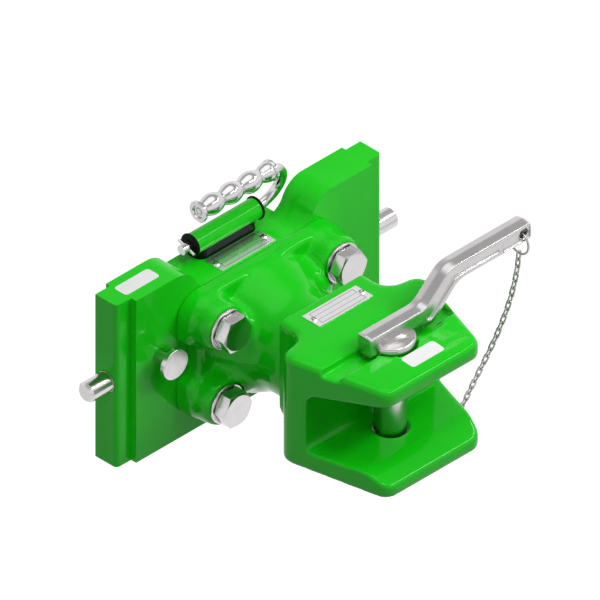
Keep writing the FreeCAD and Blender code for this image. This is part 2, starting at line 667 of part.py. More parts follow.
cotter_axis = Placement(tube_centre + Vector(-size.cotter_place, 0, 0),
                        Rotation(Vector(1, 0, 0), 90 + size.handle_tilt))
cross_hole = Part.makeCylinder(size.cotter_radius, size.cotter_length,
                               Vector(0, 0, -size.cotter_length / 2))
cross_hole.Placement = cotter_axis
rod = doc.addObject("Part::Feature", "handle_rod_sweep")
rod.Shape = rod_path.makePipeShell([rod_section], True, False).cut(cross_hole)
keep(rod, "handle_rod")
cross_pin = doc.addObject("Part::Cylinder", "handle_cross_pin_rod")
bind(cross_pin, Radius="cotter_radius", Height="cotter_length")
cross_pin.Placement = cotter_axis.multiply(Placement(Vector(0, 0, -size.cotter_length / 2),
                                                     Rotation()))
keep(cross_pin, "handle_cross_pin")
grip = doc.addObject("PartDesign::Body", "grip_body")
flange_end = size.grip_flange_thick - size.grip_left
collar_start = size.grip_right - size.grip_flange_thick
bead_length = (collar_start - flange_end) / (size.grip_beads - 1 + size.last_bead)
bore_end = size.rod_radius + size.grip_flare
turned = [Vector(bend_start, size.rod_radius, 0), Vector(-size.grip_left, size.rod_radius, 0),
          Vector(-size.grip_left, size.grip_flange, 0), Vector(flange_end, size.grip_flange, 0),
          Vector(flange_end, size.grip_waist, 0)]
outline = [Part.LineSegment(a, b) for a, b in zip(turned, turned[1:])]
here = turned[-1]
for count in range(int(size.grip_beads)):
    last = count == int(size.grip_beads) - 1
    end = here + Vector(bead_length * (size.last_bead if last else 1), 0, 0)
    crown = Vector((here.x + end.x) / 2, size.grip_bead, 0)
    outline.append(Part.Arc(here, crown, end))
    here = end
turned = [here, Vector(collar_start, size.grip_flange, 0),
          Vector(size.grip_right, size.grip_flange, 0), Vector(size.grip_right, bore_end, 0),
          Vector(bend_start, bore_end, 0), Vector(bend_start, size.rod_radius, 0)]
outline += [Part.LineSegment(a, b) for a, b in zip(turned, turned[1:])]
sketch = body_sketch(grip, "grip_profile", "XY", "0", [])
sketch.addGeometry(outline)
spin = grip.newObject("PartDesign::Revolution", "grip_turned")
spin.Profile = sketch
spin.ReferenceAxis = (sketch, ["H_Axis"])
spin.Angle = 360
grip.Placement = Placement(grip_centre, Rotation())
keep(grip, "handle_grip")

# Bearing housing: a bossed flange flowing into the neck that carries the jaw's shaft
half_waist = size.flange_waist
flange_edge = (size.bolt_half_x + size.boss_radius, size.bolt_half_z + size.boss_radius)
quarter = [(0, flange_edge[1]), (flange_edge[0], flange_edge[1], size.boss_radius),
           (flange_edge[0], flange_edge[1] - 1.7 * size.boss_radius, 8),
           (half_waist, flange_edge[1] - 2 * size.boss_radius, 9)]
flange_outline = (quarter[1:] + [(x, -z, *r) for x, z, *r in reversed(quarter[1:])]
                  + [(-x, -z, *r) for x, z, *r in quarter[1:]]
                  + [(-x, z, *r) for x, z, *r in reversed(quarter[1:])])
flange = extrude("bearing_flange", drawing("flange_outline", "XZ", "-block_front",
                                           [flange_outline]), "-Y", "flange_thick")
mouth = size.block_front + size.housing_length
neck_profile = [(0, -size.block_front), (size.flare_radius, -size.block_front),
                (size.flare_radius - 1, -size.block_front - size.boss_height * 0.62, 14),
                (size.neck_radius, -mouth + 30, 30), (size.neck_radius, -mouth), (0, -mouth)]
neck = revolve("bearing_neck", drawing("neck_profile", "XY", "0", [neck_profile]), "Y",
               ("0", "0", "0"))
housing_parts = [flange, neck]
for k, (x, z) in enumerate(bolt_spots):
    x_formula = "bolt_half_x" if x > 0 else "-bolt_half_x"
    z_formula = "bolt_half_z" if z > 0 else "-bolt_half_z"
    boss = cone(f"boss_{k}", "boss_radius", "boss_top_radius", "boss_height",
                (x_formula, "-block_front", z_formula), "-Y")
    ridge = doc.addObject("Part::Cylinder", f"ridge_{k}")
    ridge_start = Vector(x * 0.93, -size.block_front - size.boss_height + size.ridge_radius + 5,
                         z * 0.9)
    ridge_end = Vector(0, -mouth + 26, 0)
    ridge.Placement = Placement(ridge_start, Rotation(Vector(0, 0, 1), ridge_end - ridge_start))
    bind(ridge, Radius="ridge_radius")
    ridge.Height = (ridge_end - ridge_start).Length
    housing_parts += [boss, ridge]
solid_housing = fuse("bearing_solid", housing_parts)
neck_start = "-block_front - housing_length"
cavity = cylinder("nut_cavity_bore", "nut_cavity", "nut_cavity_depth", ("0", "-block_front", "0"),
                  "-Y")
bush_bore = cylinder("bush_bore", "shaft_radius + bush_wall", "housing_length",
                     ("0", "-block_front", "0"), "-Y")
flange_recess = cylinder("bush_flange_recess", "shaft_radius + bush_wall + bush_flange",
                         "bush_flange_thick", ("0", neck_start, "0"), "Y")
clear_holes = []
spot_faces = []
for k, (x, z) in enumerate(bolt_spots):
    x_formula = "bolt_half_x" if x > 0 else "-bolt_half_x"
    z_formula = "bolt_half_z" if z > 0 else "-bolt_half_z"
    clear_holes.append(cylinder(f"bolt_clear_{k}", "bolt_radius + bolt_play", "boss_height + 20",
                                (x_formula, "-block_front", z_formula), "-Y"))
    spot_faces.append(cylinder(f"spot_face_{k}", "washer_radius + 1.5", "20",
                               (x_formula, "-block_front - boss_height", z_formula), "-Y"))
behind = box("behind_the_flange", "2 * washer_radius + 2 * bolt_half_x", "block_front + 20",
             "2 * washer_radius + 2 * bolt_half_z",
             ("-bolt_half_x - washer_radius", "-block_front", "-bolt_half_z - washer_radius"))
keep(cut("bearing_housing_cut", solid_housing,
         [cavity, bush_bore, flange_recess, behind] + clear_holes + spot_faces),
     "bearing_housing")

# Bearing bolts and washers
bolts = []
washers = []
for k, (x, z) in enumerate(bolt_spots):
    x_formula = "bolt_half_x" if x > 0 else "-bolt_half_x"
    z_formula = "bolt_half_z" if z > 0 else "-bolt_half_z"
    seat_place = (x_formula, "-block_front - boss_height - washer_thick", z_formula)
    head = hexagon(f"bolt_head_{k}", "bolt_flats", "bolt_head", seat_place, "-Y")
    crown = cone(f"bolt_crown_{k}", "bolt_flats / 2 + 6.5", "bolt_flats / 2 - 1",
                 "bolt_head", seat_place, "-Y")
    shank = cylinder(f"bolt_shank_{k}", "bolt_radius", "boss_height + washer_thick + bolt_depth",
                     seat_place, "Y")
    bolts.append(fuse(f"bolt_{k}", [common(f"bolt_turned_head_{k}", head, crown), shank]))
    disc = cylinder(f"washer_disc_{k}", "washer_radius", "washer_thick", seat_place, "Y")
    hole = cylinder(f"washer_hole_{k}", "bolt_radius + bolt_play", "washer_thick", seat_place, "Y")
    washers.append(cut(f"washer_{k}", disc, [hole]))
keep(group("bearing_bolts", bolts), "bearing_bolts")
keep(group("bolt_washers", washers), "bolt_washers")

# Hook stud on the left of the frame
stud_place = ("stud_inset - frame_width / 2", "-block_front - stud_reach", "stud_z")
stud_disc = cylinder("stud_head_disc", "stud_head", "stud_head_thick", stud_place, "Y")
stud_stem = cylinder("stud_stem", "stud_radius", "stud_reach + stud_depth", stud_place, "Y")
keep(fillet("hook_stud_rounded", fuse("hook_stud_solid", [stud_disc, stud_stem]), 1,
            lambda edge: edge.BoundBox.XLength > 2 * size.stud_head - 0.1
            and edge.BoundBox.YLength < 0.01 and edge.BoundBox.YMin < -size.block_front
            - size.stud_reach + 0.1), "hook_stud")

# Swivel bush, thrust washer, nut and split pin behind it
bush_place = ("0", "-block_front - housing_length", "0")
bush_sleeve = cylinder("bush_sleeve", "shaft_radius + bush_wall",
                       "housing_length - nut_cavity_depth", bush_place, "Y")
bush_rim = cylinder("bush_rim", "shaft_radius + bush_wall + bush_flange", "bush_flange_thick",
                    bush_place, "Y")
bush_hole = cylinder("bush_hole", "shaft_radius + shaft_play", "housing_length", bush_place, "Y")
keep(cut("swivel_bush_cut", fuse("swivel_bush_solid", [bush_sleeve, bush_rim]), [bush_hole]),
     "swivel_bush")
thrust_place = ("0", "-block_front - nut_cavity_depth + 0.1", "0")
thrust_disc = cylinder("thrust_disc", "thrust_radius", "thrust_thick", thrust_place, "Y")
thrust_hole = cylinder("thrust_hole", "thread_radius + 0.1", "thrust_thick", thrust_place, "Y")
keep(cut("thrust_washer_cut", thrust_disc, [thrust_hole]), "thrust_washer")
nut_place = ("0", "-block_front - nut_cavity_depth + 0.1 + thrust_thick", "0")
nut_hex = hexagon("nut_hex", "nut_flats", "nut_height", nut_place, "Y")
nut_hole = cylinder("nut_hole", "thread_radius", "nut_height", nut_place, "Y")
nut_slots = []
for k in range(3):
    slot = doc.addObject("Part::Box", f"nut_slot_{k}")
    bind(slot, Length="nut_flats * 1.4", Width="nut_slot_depth", Height="nut_slot")
    half_long = size.nut_flats * 0.7
    top = (-size.block_front - size.nut_cavity_depth + 0.1 + size.thrust_thick + size.nut_height
           - size.nut_slot_depth)
    turn = Rotation(Vector(0, 1, 0), 60 * k)
    slot.Placement = Placement(Vector(0, top, 0), turn).multiply(
        Placement(Vector(-half_long, 0, -size.nut_slot / 2), Rotation()))
    nut_slots.append(slot)
keep(cut("swivel_nut_cut", nut_hex, [nut_hole] + nut_slots), "swivel_nut")
split_place = ("-nut_flats / 2 - 2",
               "-block_front - nut_cavity_depth + 0.1 + thrust_thick + nut_height"
               " - nut_slot_depth / 2", "0")
keep(cylinder("split_pin_rod", "split_radius", "nut_flats + 4", split_place, "X"), "split_pin")

# Jaw: rear block, ears, web and the two plates of the mouth, forged in one with its shaft
jaw_rear = size.block_front + size.housing_length + size.swivel_gap
rear_profile = mirrored([
    (size.jaw_half_rear, -size.jaw_bottom, size.jaw_under_round),
    (size.jaw_half_rear, size.jaw_top - 2 * size.jaw_edge_round),
])
rear_prism = extrude("jaw_rear_prism", drawing(
    "rear_profile", "XZ", "-block_front - housing_length - swivel_gap", [rear_profile]),
    "-Y", "ear_ahead + 6 - block_front - housing_length - swivel_gap")
rear_foot = [
    (-jaw_rear, size.jaw_top), (-jaw_rear, -size.jaw_bottom),
    (-size.ear_ahead - 6, -size.foot_back - 0.5), (-size.ear_ahead - 6, size.jaw_top),
]
rear_wedge = extrude("jaw_rear_wedge", drawing("rear_foot_line", "YZ", "-jaw_half_rear - 1",
                                               [rear_foot]), "X", "2 * jaw_half_rear + 2")
rear_block = common("jaw_rear_block", rear_prism, rear_wedge)
plan_outline = mirrored([
    (size.jaw_half_front, -size.jaw_front, size.jaw_front_round),
    (size.ear_half, -size.ear_ahead, size.ear_round),
    (size.jaw_half_rear, -size.ear_ahead + 6, 16),
    (size.jaw_half_rear, -jaw_rear),
])
plan = extrude("jaw_plan", drawing("jaw_plan_outline", "XY", "-foot_front - 1", [plan_outline]),
               "Z", "foot_front + jaw_top + 2")
round_start = size.jaw_under_round - size.jaw_bottom
side_outline = [
    (-jaw_rear, size.jaw_top), (-size.jaw_crease, size.jaw_top, 100),
    (-size.jaw_front - 1, size.top_front), (-size.jaw_front - 1, size.upper_front),
    (-size.web_front, size.upper_back, 12), (-size.web_front, -size.lower_back, 8),
    (-size.jaw_front + size.lip_back, -size.lower_back - 2, 25),
    (-size.jaw_front - 1, -size.lower_front),
    (-size.jaw_front - 1, -size.foot_front),
    (-size.ear_ahead + 8, -size.foot_back), (-size.ear_ahead + 8, round_start),
    (-jaw_rear, round_start),
]
side = extrude("jaw_side", drawing("jaw_side_outline", "YZ", "-ear_half - 1", [side_outline]),
               "X", "2 * ear_half + 2")
head = common("jaw_head", plan, side)


def crosses(bound):
    """True for a line across the jaw behind its front face."""
    return bound.YLength < 0.01 and bound.YMin > 1 - size.jaw_front and bound.XLength > 1


def top_edge(edge):
    """True for the edges round the jaw's top face."""
    b = edge.BoundBox
    return b.ZMin > size.top_front - 0.5 and not crosses(b)


def foot_edge(edge):
    """True for the edges round the jaw's foot."""
    b = edge.BoundBox
    return b.ZMax < 0.5 - size.foot_back and not crosses(b)


def mouth_edge(edge):
    """True for the edges round the jaw's mouth."""
    b = edge.BoundBox
    inside = b.ZMin > -size.lower_front - 0.5 and b.ZMax < size.upper_front + 0.5
    return inside and b.YMax < 0.1 - size.web_front and not crosses(b)


rounded_top = fillet("jaw_top_rounded", head, size.jaw_edge_round, top_edge)
rounded_foot = fillet("jaw_foot_rounded", rounded_top, size.jaw_foot_round, foot_edge)
head = fillet("jaw_head_rounded", rounded_foot, size.mouth_round, mouth_edge)
shaft_place = ("0", "-block_front - housing_length - swivel_gap", "0")
journal = cylinder("jaw_journal", "shaft_radius",
                   "housing_length + swivel_gap - nut_cavity_depth", shaft_place, "Y")
thread = cylinder("jaw_thread", "thread_radius - 0.05",
                  "housing_length + swivel_gap - nut_cavity_depth + thrust_thick + nut_height + 3",
                  shaft_place, "Y")
jaw_solid = fuse("jaw_solid", [rear_block, head, journal, thread])
pin_y = "-pin_ahead"
pin_bore = cylinder("jaw_pin_bore", "pin_radius + pin_play_top", "jaw_top + 10",
                    ("0", pin_y, "0"), "Z")
pin_hole = cylinder("jaw_foot_hole", "pin_radius + pin_play_foot", "foot_front + 10",
                    ("0", pin_y, "-foot_front - 10"), "Z")
recess = cylinder("collar_recess", "recess_radius", "20", ("0", pin_y, "groove_floor"), "Z")
groove = box("lever_groove_cut", "2 * ear_half", "groove_width", "20",
             ("-ear_half - 20", "-pin_ahead - groove_width / 2", "groove_floor"))
relief = doc.addObject("Part::Cylinder", "lever_relief")
relief.Placement = Placement(Vector(size.recess_radius - 2, -size.pin_ahead - 14, 0),
                             Rotation(Vector(1, 0, 0), -90))
bind(relief, Radius="30", Height="28")
relief.setExpression("Placement.Base.z", tied("groove_floor + 29"))
relief.setExpression("Placement.Base.x", tied("recess_radius + 10"))
split_hole = cylinder("split_pin_hole", "split_radius", "nut_flats + 4", split_place, "X")
jaw_rivet_holes = [
    cylinder(f"jaw_rivet_hole_{k}", "rivet_radius", "rivet_depth",
             (f"{sign}rivet_place", "-jaw_badge_ahead", "jaw_top - rivet_depth"), "Z")
    for k, sign in enumerate(("-", ""))]
eye_hole = cylinder("eye_hole", "eye_wire", "20",
                    ("ear_half - 22", "-eye_ahead", "-eye_down"), "X")
keep(cut("jaw_cut", jaw_solid, [pin_bore, pin_hole, recess, groove, relief, split_hole, eye_hole]
         + jaw_rivet_holes), "jaw")

# Nameplates with their rivets
for owner, ahead, top in (("frame", "frame_badge_back", "saddle_top"),
                          ("jaw", "jaw_badge_ahead", "jaw_top")):
    plate = box(f"{owner}_badge_blank", "badge_length", "badge_width", "badge_thick",
                ("-badge_length / 2", f"-{ahead} - badge_width / 2", top))
    holes = []
    rivets = []
    for k, sign in enumerate(("-", "")):
        spot = (f"{sign}rivet_place", f"-{ahead}", f"{top} - rivet_depth")
        holes.append(cylinder(f"{owner}_badge_hole_{k}", "rivet_radius", "20", spot, "Z"))
        shank = cylinder(f"{owner}_rivet_shank_{k}", "rivet_radius", "rivet_depth + badge_thick",
                         spot, "Z")
        head = cone(f"{owner}_rivet_head_{k}", "rivet_head", "rivet_head - 1.2",
                    "rivet_head_thick", (spot[0], spot[1], f"{top} + badge_thick"), "Z")
        rivets.append(fuse(f"{owner}_rivet_{k}", [shank, head]))
    keep(cut(f"{owner}_badge_cut", plate, holes), f"{owner}_nameplate")
    keep(group(f"{owner}_rivets", rivets), f"{owner}_nameplate_rivets")

# Coupling pin, turned in one with its domed collar
foot = -size.pin_foot
pin_profile = [
    (0, foot), (size.pin_radius - 4, foot), (size.pin_radius, foot + size.pin_taper, 3),
    (size.pin_radius, size.collar_foot), (size.collar_radius, size.collar_foot),
    (size.collar_radius, size.collar_top, 2), (0, size.dome_top),
]
pin_sketch = drawing("pin_profile", "XZ", "-pin_ahead", [pin_profile])
pin_solid = revolve("pin_turned", pin_sketch, "Z", ("0", "-pin_ahead", "0"))
lever_seat = box("lever_seat", "2 * collar_radius + 2", "lever_width", "30",
                 ("-collar_radius - 1", "-pin_ahead - lever_width / 2", "collar_foot + 4"))
keep(cut("coupling_pin_cut", pin_solid, [lever_seat]), "coupling_pin")

# Lever: an offset arm with a groove along each side
lever_outline = [
    (-size.lever_left, size.collar_foot + 4), (-size.lever_left, size.lever_low_top, 1.5),
    (size.lever_rise_start, size.lever_low_top, 14),
    (size.lever_rise_end, size.lever_high_top, 22),
    (size.lever_right, size.lever_high_top, 4), (size.lever_right, size.lever_high_foot, 4),
    (size.lever_rise_end + size.lever_step, size.lever_high_foot, 20),
    (size.lever_rise_start + size.lever_step, size.collar_foot + 4, 16),
]
arm = extrude("lever_arm", drawing("lever_outline", "XZ", "-pin_ahead + lever_width / 2",
                                   [lever_outline]), "-Y", "lever_width")
rim_width = 4.2
low_line = size.lever_low_top - rim_width - 5
groove_outline = [
    (size.lever_rise_start + 4, size.collar_foot + 10, 2),
    (size.lever_rise_start + 1, low_line, 3),
    (size.lever_rise_end - 1, size.lever_high_top - rim_width - 2, 16),
    (size.lever_rise_end + 58, size.lever_high_top - rim_width - 2, 3),
    (size.lever_rise_end + 58, size.lever_high_foot + rim_width, 3),
    (size.lever_rise_end + size.lever_step - 2, size.lever_high_foot + rim_width, 14),
    (size.lever_rise_start + size.lever_step - 2, size.collar_foot + 10, 2),
]
end_outline = rectangle(size.lever_rise_end + 62, size.lever_high_foot + 1.4,
                        size.lever_right - 1.2, size.lever_high_top - 3.4, 2)
side_grooves = []
for k, side in enumerate(("", "-")):
    for what, outline in (("long", groove_outline), ("end", end_outline)):
        start = ("-pin_ahead - lever_width / 2 + lever_groove" if k == 0 else
                 "-pin_ahead + lever_width / 2")
        side_grooves.append(extrude(f"{what}_groove_{k}", drawing(
            f"{what}_groove_outline_{k}", "XZ", start, [outline]), "-Y", "lever_groove"))
chain_hole = cylinder("lever_chain_hole", "lever_hole", "lever_width + 2",
                      ("lever_hole_x", "-pin_ahead - lever_width / 2 - 1", "lever_hole_z"), "Y")
keep(cut("lever_cut", arm, side_grooves + [chain_hole]), "pin_lever")

# Chain ring, hanging in the lever's hole
ring_inner = size.ring_radius - size.ring_wire
ring_drop = math.sqrt(ring_inner ** 2 - (size.lever_width / 2) ** 2)
ring_centre = Vector(size.lever_hole_x, -size.pin_ahead,
                     size.lever_hole_z - size.lever_hole - ring_drop + size.chain_play)
ring = doc.addObject("Part::Torus", "chain_ring_wire")
bind(ring, Radius1="ring_radius", Radius2="ring_wire")
ring.Placement = Placement(ring_centre, TURNS["X"])
keep(ring, "chain_ring")

# Anchor eye in the jaw's right ear
eye_stem = cylinder("eye_stem", "eye_wire", "26", ("ear_half - 22", "-eye_ahead", "-eye_down"),
                    "X")
eye_loop = torus("eye_loop", "eye_radius", "eye_wire",
                 ("ear_half + eye_neck + eye_radius", "-eye_ahead", "-eye_down"), "Y")
eye_solid = fuse("eye_solid", [eye_stem, eye_loop])
keep(eye_solid, "chain_anchor")

# Safety chain: flat links set out along the line on which it hangs
link_half = size.link_outer / 2
link_side = size.link_width / 2
link_hook = size.link_outer / 2 - size.link_wire - size.link_pitch / 2
hang_start = Vector(size.lever_hole_x, -size.pin_ahead, ring_centre.z - size.ring_radius
                    + size.ring_wire - link_hook + size.chain_play)
eye_spot = Vector(size.ear_half + size.eye_neck + size.eye_radius, -size.eye_ahead,
                  -size.eye_down - size.eye_radius + size.eye_wire - link_hook
                  + size.chain_play)
hang_points = [
    hang_start, Vector(144, -174.8, 22), Vector(131.5, -163.8, -28), Vector(120.5, -149, -75),
    Vector(117.6, -143, -91), Vector(106, -138, -103), eye_spot - Vector(0, 0.4, 46),
    eye_spot - Vector(0, 0, 22), eye_spot,
]
line = Part.BSplineCurve()
line.interpolate(hang_points)
link_count = 2 * int(round(line.length() / size.link_pitch / 2))
spots = line.discretize(Number=link_count + 1)
across = Vector(0, 1, 0)
links = []
for k, (start, end) in enumerate(zip(spots, spots[1:])):
    loop = rectangle(-link_half, -link_side, link_half, link_side, link_side * 0.8)
    gap = rectangle(size.link_wire - link_half, size.link_wire - link_side,
                    link_half - size.link_wire, link_side - size.link_wire,
                    (link_side - size.link_wire) * 0.8)
    edges = [Part.Wire([piece.toShape() for piece in corner_pieces(edge)]) for edge in (loop, gap)]
    face = Part.makeFace(edges, "Part::FaceMakerBullseye")
    solid = face.extrude(Vector(0, 0, size.link_wire))
    solid.translate(Vector(0, 0, -size.link_wire / 2))
    along = (end - start).normalize()
    flat = (across - along * along.dot(across)).normalize()
    normal = flat if k % 2 == 0 else along.cross(flat)
    solid.Placement = Placement((start + end) * 0.5,
                                Rotation(along, normal.cross(along), normal, "XZY")
                                ).multiply(solid.Placement)
    links.append(solid)
chain = doc.addObject("Part::Feature", "chain_links")
chain.Shape = Part.makeCompound(links)
keep(chain, "chain")

# Build, check and write
doc.recompute()
for item in doc.Objects:
    if "Invalid" in item.State or "Error" in item.State:
        raise RuntimeError(f"{item.Name} failed: {item.State}")
os.makedirs("parts", exist_ok=True)
for item in nodes:
    shape = item.Shape
    if shape.isNull() or not shape.isValid() or not shape.Solids:
        raise RuntimeError(f"{item.Label} has no valid solid")
    shape.exportStep(f"parts/{item.Label}.step")
    print(f"{item.Label}: {len(shape.Solids)} solids, {shape.Volume:.0f} mm3")
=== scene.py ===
"""Transport hitch: finishes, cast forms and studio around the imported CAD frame."""

import logging
import math
from dataclasses import dataclass
from enum import Enum
from typing import Callable

import bmesh
import bpy
from mathutils import Matrix, Vector
from mathutils.bvhtree import BVHTree


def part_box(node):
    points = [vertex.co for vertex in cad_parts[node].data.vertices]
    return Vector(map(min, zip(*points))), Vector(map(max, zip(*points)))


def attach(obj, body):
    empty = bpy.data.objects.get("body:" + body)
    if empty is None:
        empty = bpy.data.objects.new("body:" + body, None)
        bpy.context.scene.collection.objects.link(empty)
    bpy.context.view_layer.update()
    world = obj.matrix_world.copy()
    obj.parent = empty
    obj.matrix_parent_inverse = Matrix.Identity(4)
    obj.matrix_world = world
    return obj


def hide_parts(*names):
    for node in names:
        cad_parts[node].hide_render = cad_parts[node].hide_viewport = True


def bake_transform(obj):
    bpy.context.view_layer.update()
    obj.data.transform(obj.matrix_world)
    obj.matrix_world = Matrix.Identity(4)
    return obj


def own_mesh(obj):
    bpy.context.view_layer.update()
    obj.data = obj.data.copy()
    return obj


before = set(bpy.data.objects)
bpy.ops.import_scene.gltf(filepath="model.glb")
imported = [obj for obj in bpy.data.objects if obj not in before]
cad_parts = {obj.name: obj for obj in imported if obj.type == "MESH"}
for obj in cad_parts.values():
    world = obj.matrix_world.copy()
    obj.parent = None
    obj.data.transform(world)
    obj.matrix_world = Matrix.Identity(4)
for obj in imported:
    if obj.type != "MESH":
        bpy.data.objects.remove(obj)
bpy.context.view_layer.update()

log = logging.getLogger("transport_hitch")
MM = 0.001
FLAT = 0.6            # degrees: faces that turn less than this become one
SHARP = 28.0          # degrees: edges that turn more than this are rounded on small parts
SAME = 1e-7           # metres: turned points closer than this are one
JOIN = 2e-6           # metres: points of a CAD mesh closer than this are one
FILM_GAP = 0.00002    # metres between a label and the face under it
FILM_THICK = 0.00016  # metres
RUBBED = (0.53, 9.0)  # pointiness from which an edge is rubbed bright, and its gain
HOLLOW = (0.495, 16.0)  # pointiness below which a hollow edge is darkened with painted shade, and its gain
# colour of the painted shade laid in hollow edges
PAINTED_SHADE_COLOUR = (0.05, 0.05, 0.05)
WHITE = (1.0, 1.0, 1.0, 1.0)

Point = tuple[float, float]
Place = tuple[float, float, float]
Colour = tuple[float, float, float]
Stop = tuple[float, tuple[float, float, float, float]]


class Grain(Enum):
    """Fine surface textures that the finishes use."""

    ENAMEL = "orange peel of sprayed enamel"
    CAST = "sand-cast skin under paint"
    FORGED = "blasted forging"
    TURNED_X = "tool lines round an axis along X"
    TURNED_Z = "tool lines round an axis along Z"
    BRUSHED = "lines drawn along X"
    PLATED = "crystals of a zinc plating"


class Sock:
    """A shader socket that takes part in Python expressions.

    Args:
        sheet: The node sheet that the socket belongs to.
        link: The output socket.
    """

    def __init__(self, sheet: "Sheet", link: bpy.types.NodeSocket) -> None:
        """Keep the sheet and the socket."""
        self.sheet = sheet
        self.link = link

    def _with(self, operation: str, first: object, second: object) -> "Sock":
        """Add one Math node.

        Args:
            operation: The Math node's operation.
            first: First value or socket.
            second: Second value or socket.

        Returns:
            The node's result.
        """
        return self.sheet.node("ShaderNodeMath", {"operation": operation}, {0: first, 1: second})

    def __add__(self, other: object) -> "Sock":
        """Sum."""
        return self._with("ADD", self, other)

    def __radd__(self, other: object) -> "Sock":
        """Sum, with the number first."""
        return self._with("ADD", other, self)

    def __sub__(self, other: object) -> "Sock":
        """Difference."""
        return self._with("SUBTRACT", self, other)

    def __rsub__(self, other: object) -> "Sock":
        """Difference, with the number first."""
        return self._with("SUBTRACT", other, self)

    def __mul__(self, other: object) -> "Sock":
        """Product."""
        return self._with("MULTIPLY", self, other)

    def __rmul__(self, other: object) -> "Sock":
        """Product, with the number first."""
        return self._with("MULTIPLY", other, self)

    def __gt__(self, other: object) -> "Sock":
        """1 where this is greater."""
        return self._with("GREATER_THAN", self, other)

    def __lt__(self, other: object) -> "Sock":
        """1 where this is less."""
        return self._with("LESS_THAN", self, other)

    def __abs__(self) -> "Sock":
        """Size without sign."""
        return self._with("ABSOLUTE", self, 0.0)

    def clipped(self) -> "Sock":
        """Hold the value between 0 and 1."""
        return self.sheet.node("ShaderNodeClamp", {}, {"Value": self})


class Sheet:
    """The nodes of one material.

    Args:
        tree: The node tree to fill.
    """

    def __init__(self, tree: bpy.types.NodeTree) -> None:
        """Keep the tree."""
        self.tree = tree

    def node(self, kind: str, settings: dict, inputs: dict, output: object = 0) -> Sock | None:
        """Add any node.

        Args:
            kind: Blender's node type.
            settings: Properties of the node; "stops" sets a ramp's positions and colours.
            inputs: Values or sockets, by the name or place of the input.
            output: Name or place of the output wanted.

        Returns:
            That output, or nothing from a node at the end of a tree.
        """
        made = self.tree.nodes.new(kind)
        for name, value in settings.items():
            if name == "stops":
                ramp = made.color_ramp
                while len(ramp.elements) < len(value):
                    ramp.elements.new(0.5)
                for element, (place, colour) in zip(ramp.elements, value):
                    element.position = place
                    element.color = colour
            else:
                setattr(made, name, value)
        for name, value in inputs.items():
            if isinstance(value, Sock):
                self.tree.links.new(value.link, made.inputs[name])
            else:
                made.inputs[name].default_value = value
        return Sock(self, made.outputs[output]) if made.outputs else None

    def place(self) -> Sock:
        """Object coordinates, in metres."""
        return self.node("ShaderNodeTexCoord", {}, {}, "Object")

    def scaled(self, place: Sock, factors: Place) -> Sock:
        """Stretch a place.

        Args:
            place: The vector.
            factors: Factor along each axis.

        Returns:
            The stretched vector.
        """
        return self.node("ShaderNodeVectorMath", {"operation": "MULTIPLY"}, {0: place, 1: factors})

    def axis(self, place: Sock, name: str) -> Sock:
        """Take one coordinate.

        Args:
            place: The vector.
            name: X, Y or Z.

        Returns:
            The coordinate.
        """
        return self.node("ShaderNodeSeparateXYZ", {}, {0: place}, name)

    def noise(self, place: Sock, size: float, detail: float = 2.0, rough: float = 0.5) -> Sock:
        """Soft noise.

        Args:
            place: The vector.
            size: Size of its patches, in metres.
            detail: Octaves.
            rough: Weight of the finer octaves.

        Returns:
            A value round 0.5.
        """
        return self.node("ShaderNodeTexNoise", {},
                         {"Vector": place, "Scale": 1.0 / size, "Detail": detail,
                          "Roughness": rough}, 0)

    def blend(self, factor: object, first: object, second: object) -> Sock:
        """Mix two colours.

        Args:
            factor: 0 for the first, 1 for the second.
            first: Colour or socket.
            second: Colour or socket.

        Returns:
            The mixed colour.
        """
        return self.node("ShaderNodeMix", {"data_type": "RGBA"}, {0: factor, 6: first, 7: second}, 2)


def rgba(colour: Colour) -> tuple[float, float, float, float]:
    """Give a colour its alpha.

    Args:
        colour: Linear red, green and blue.

    Returns:
        The colour with alpha 1.
    """
    return (*colour, 1.0)


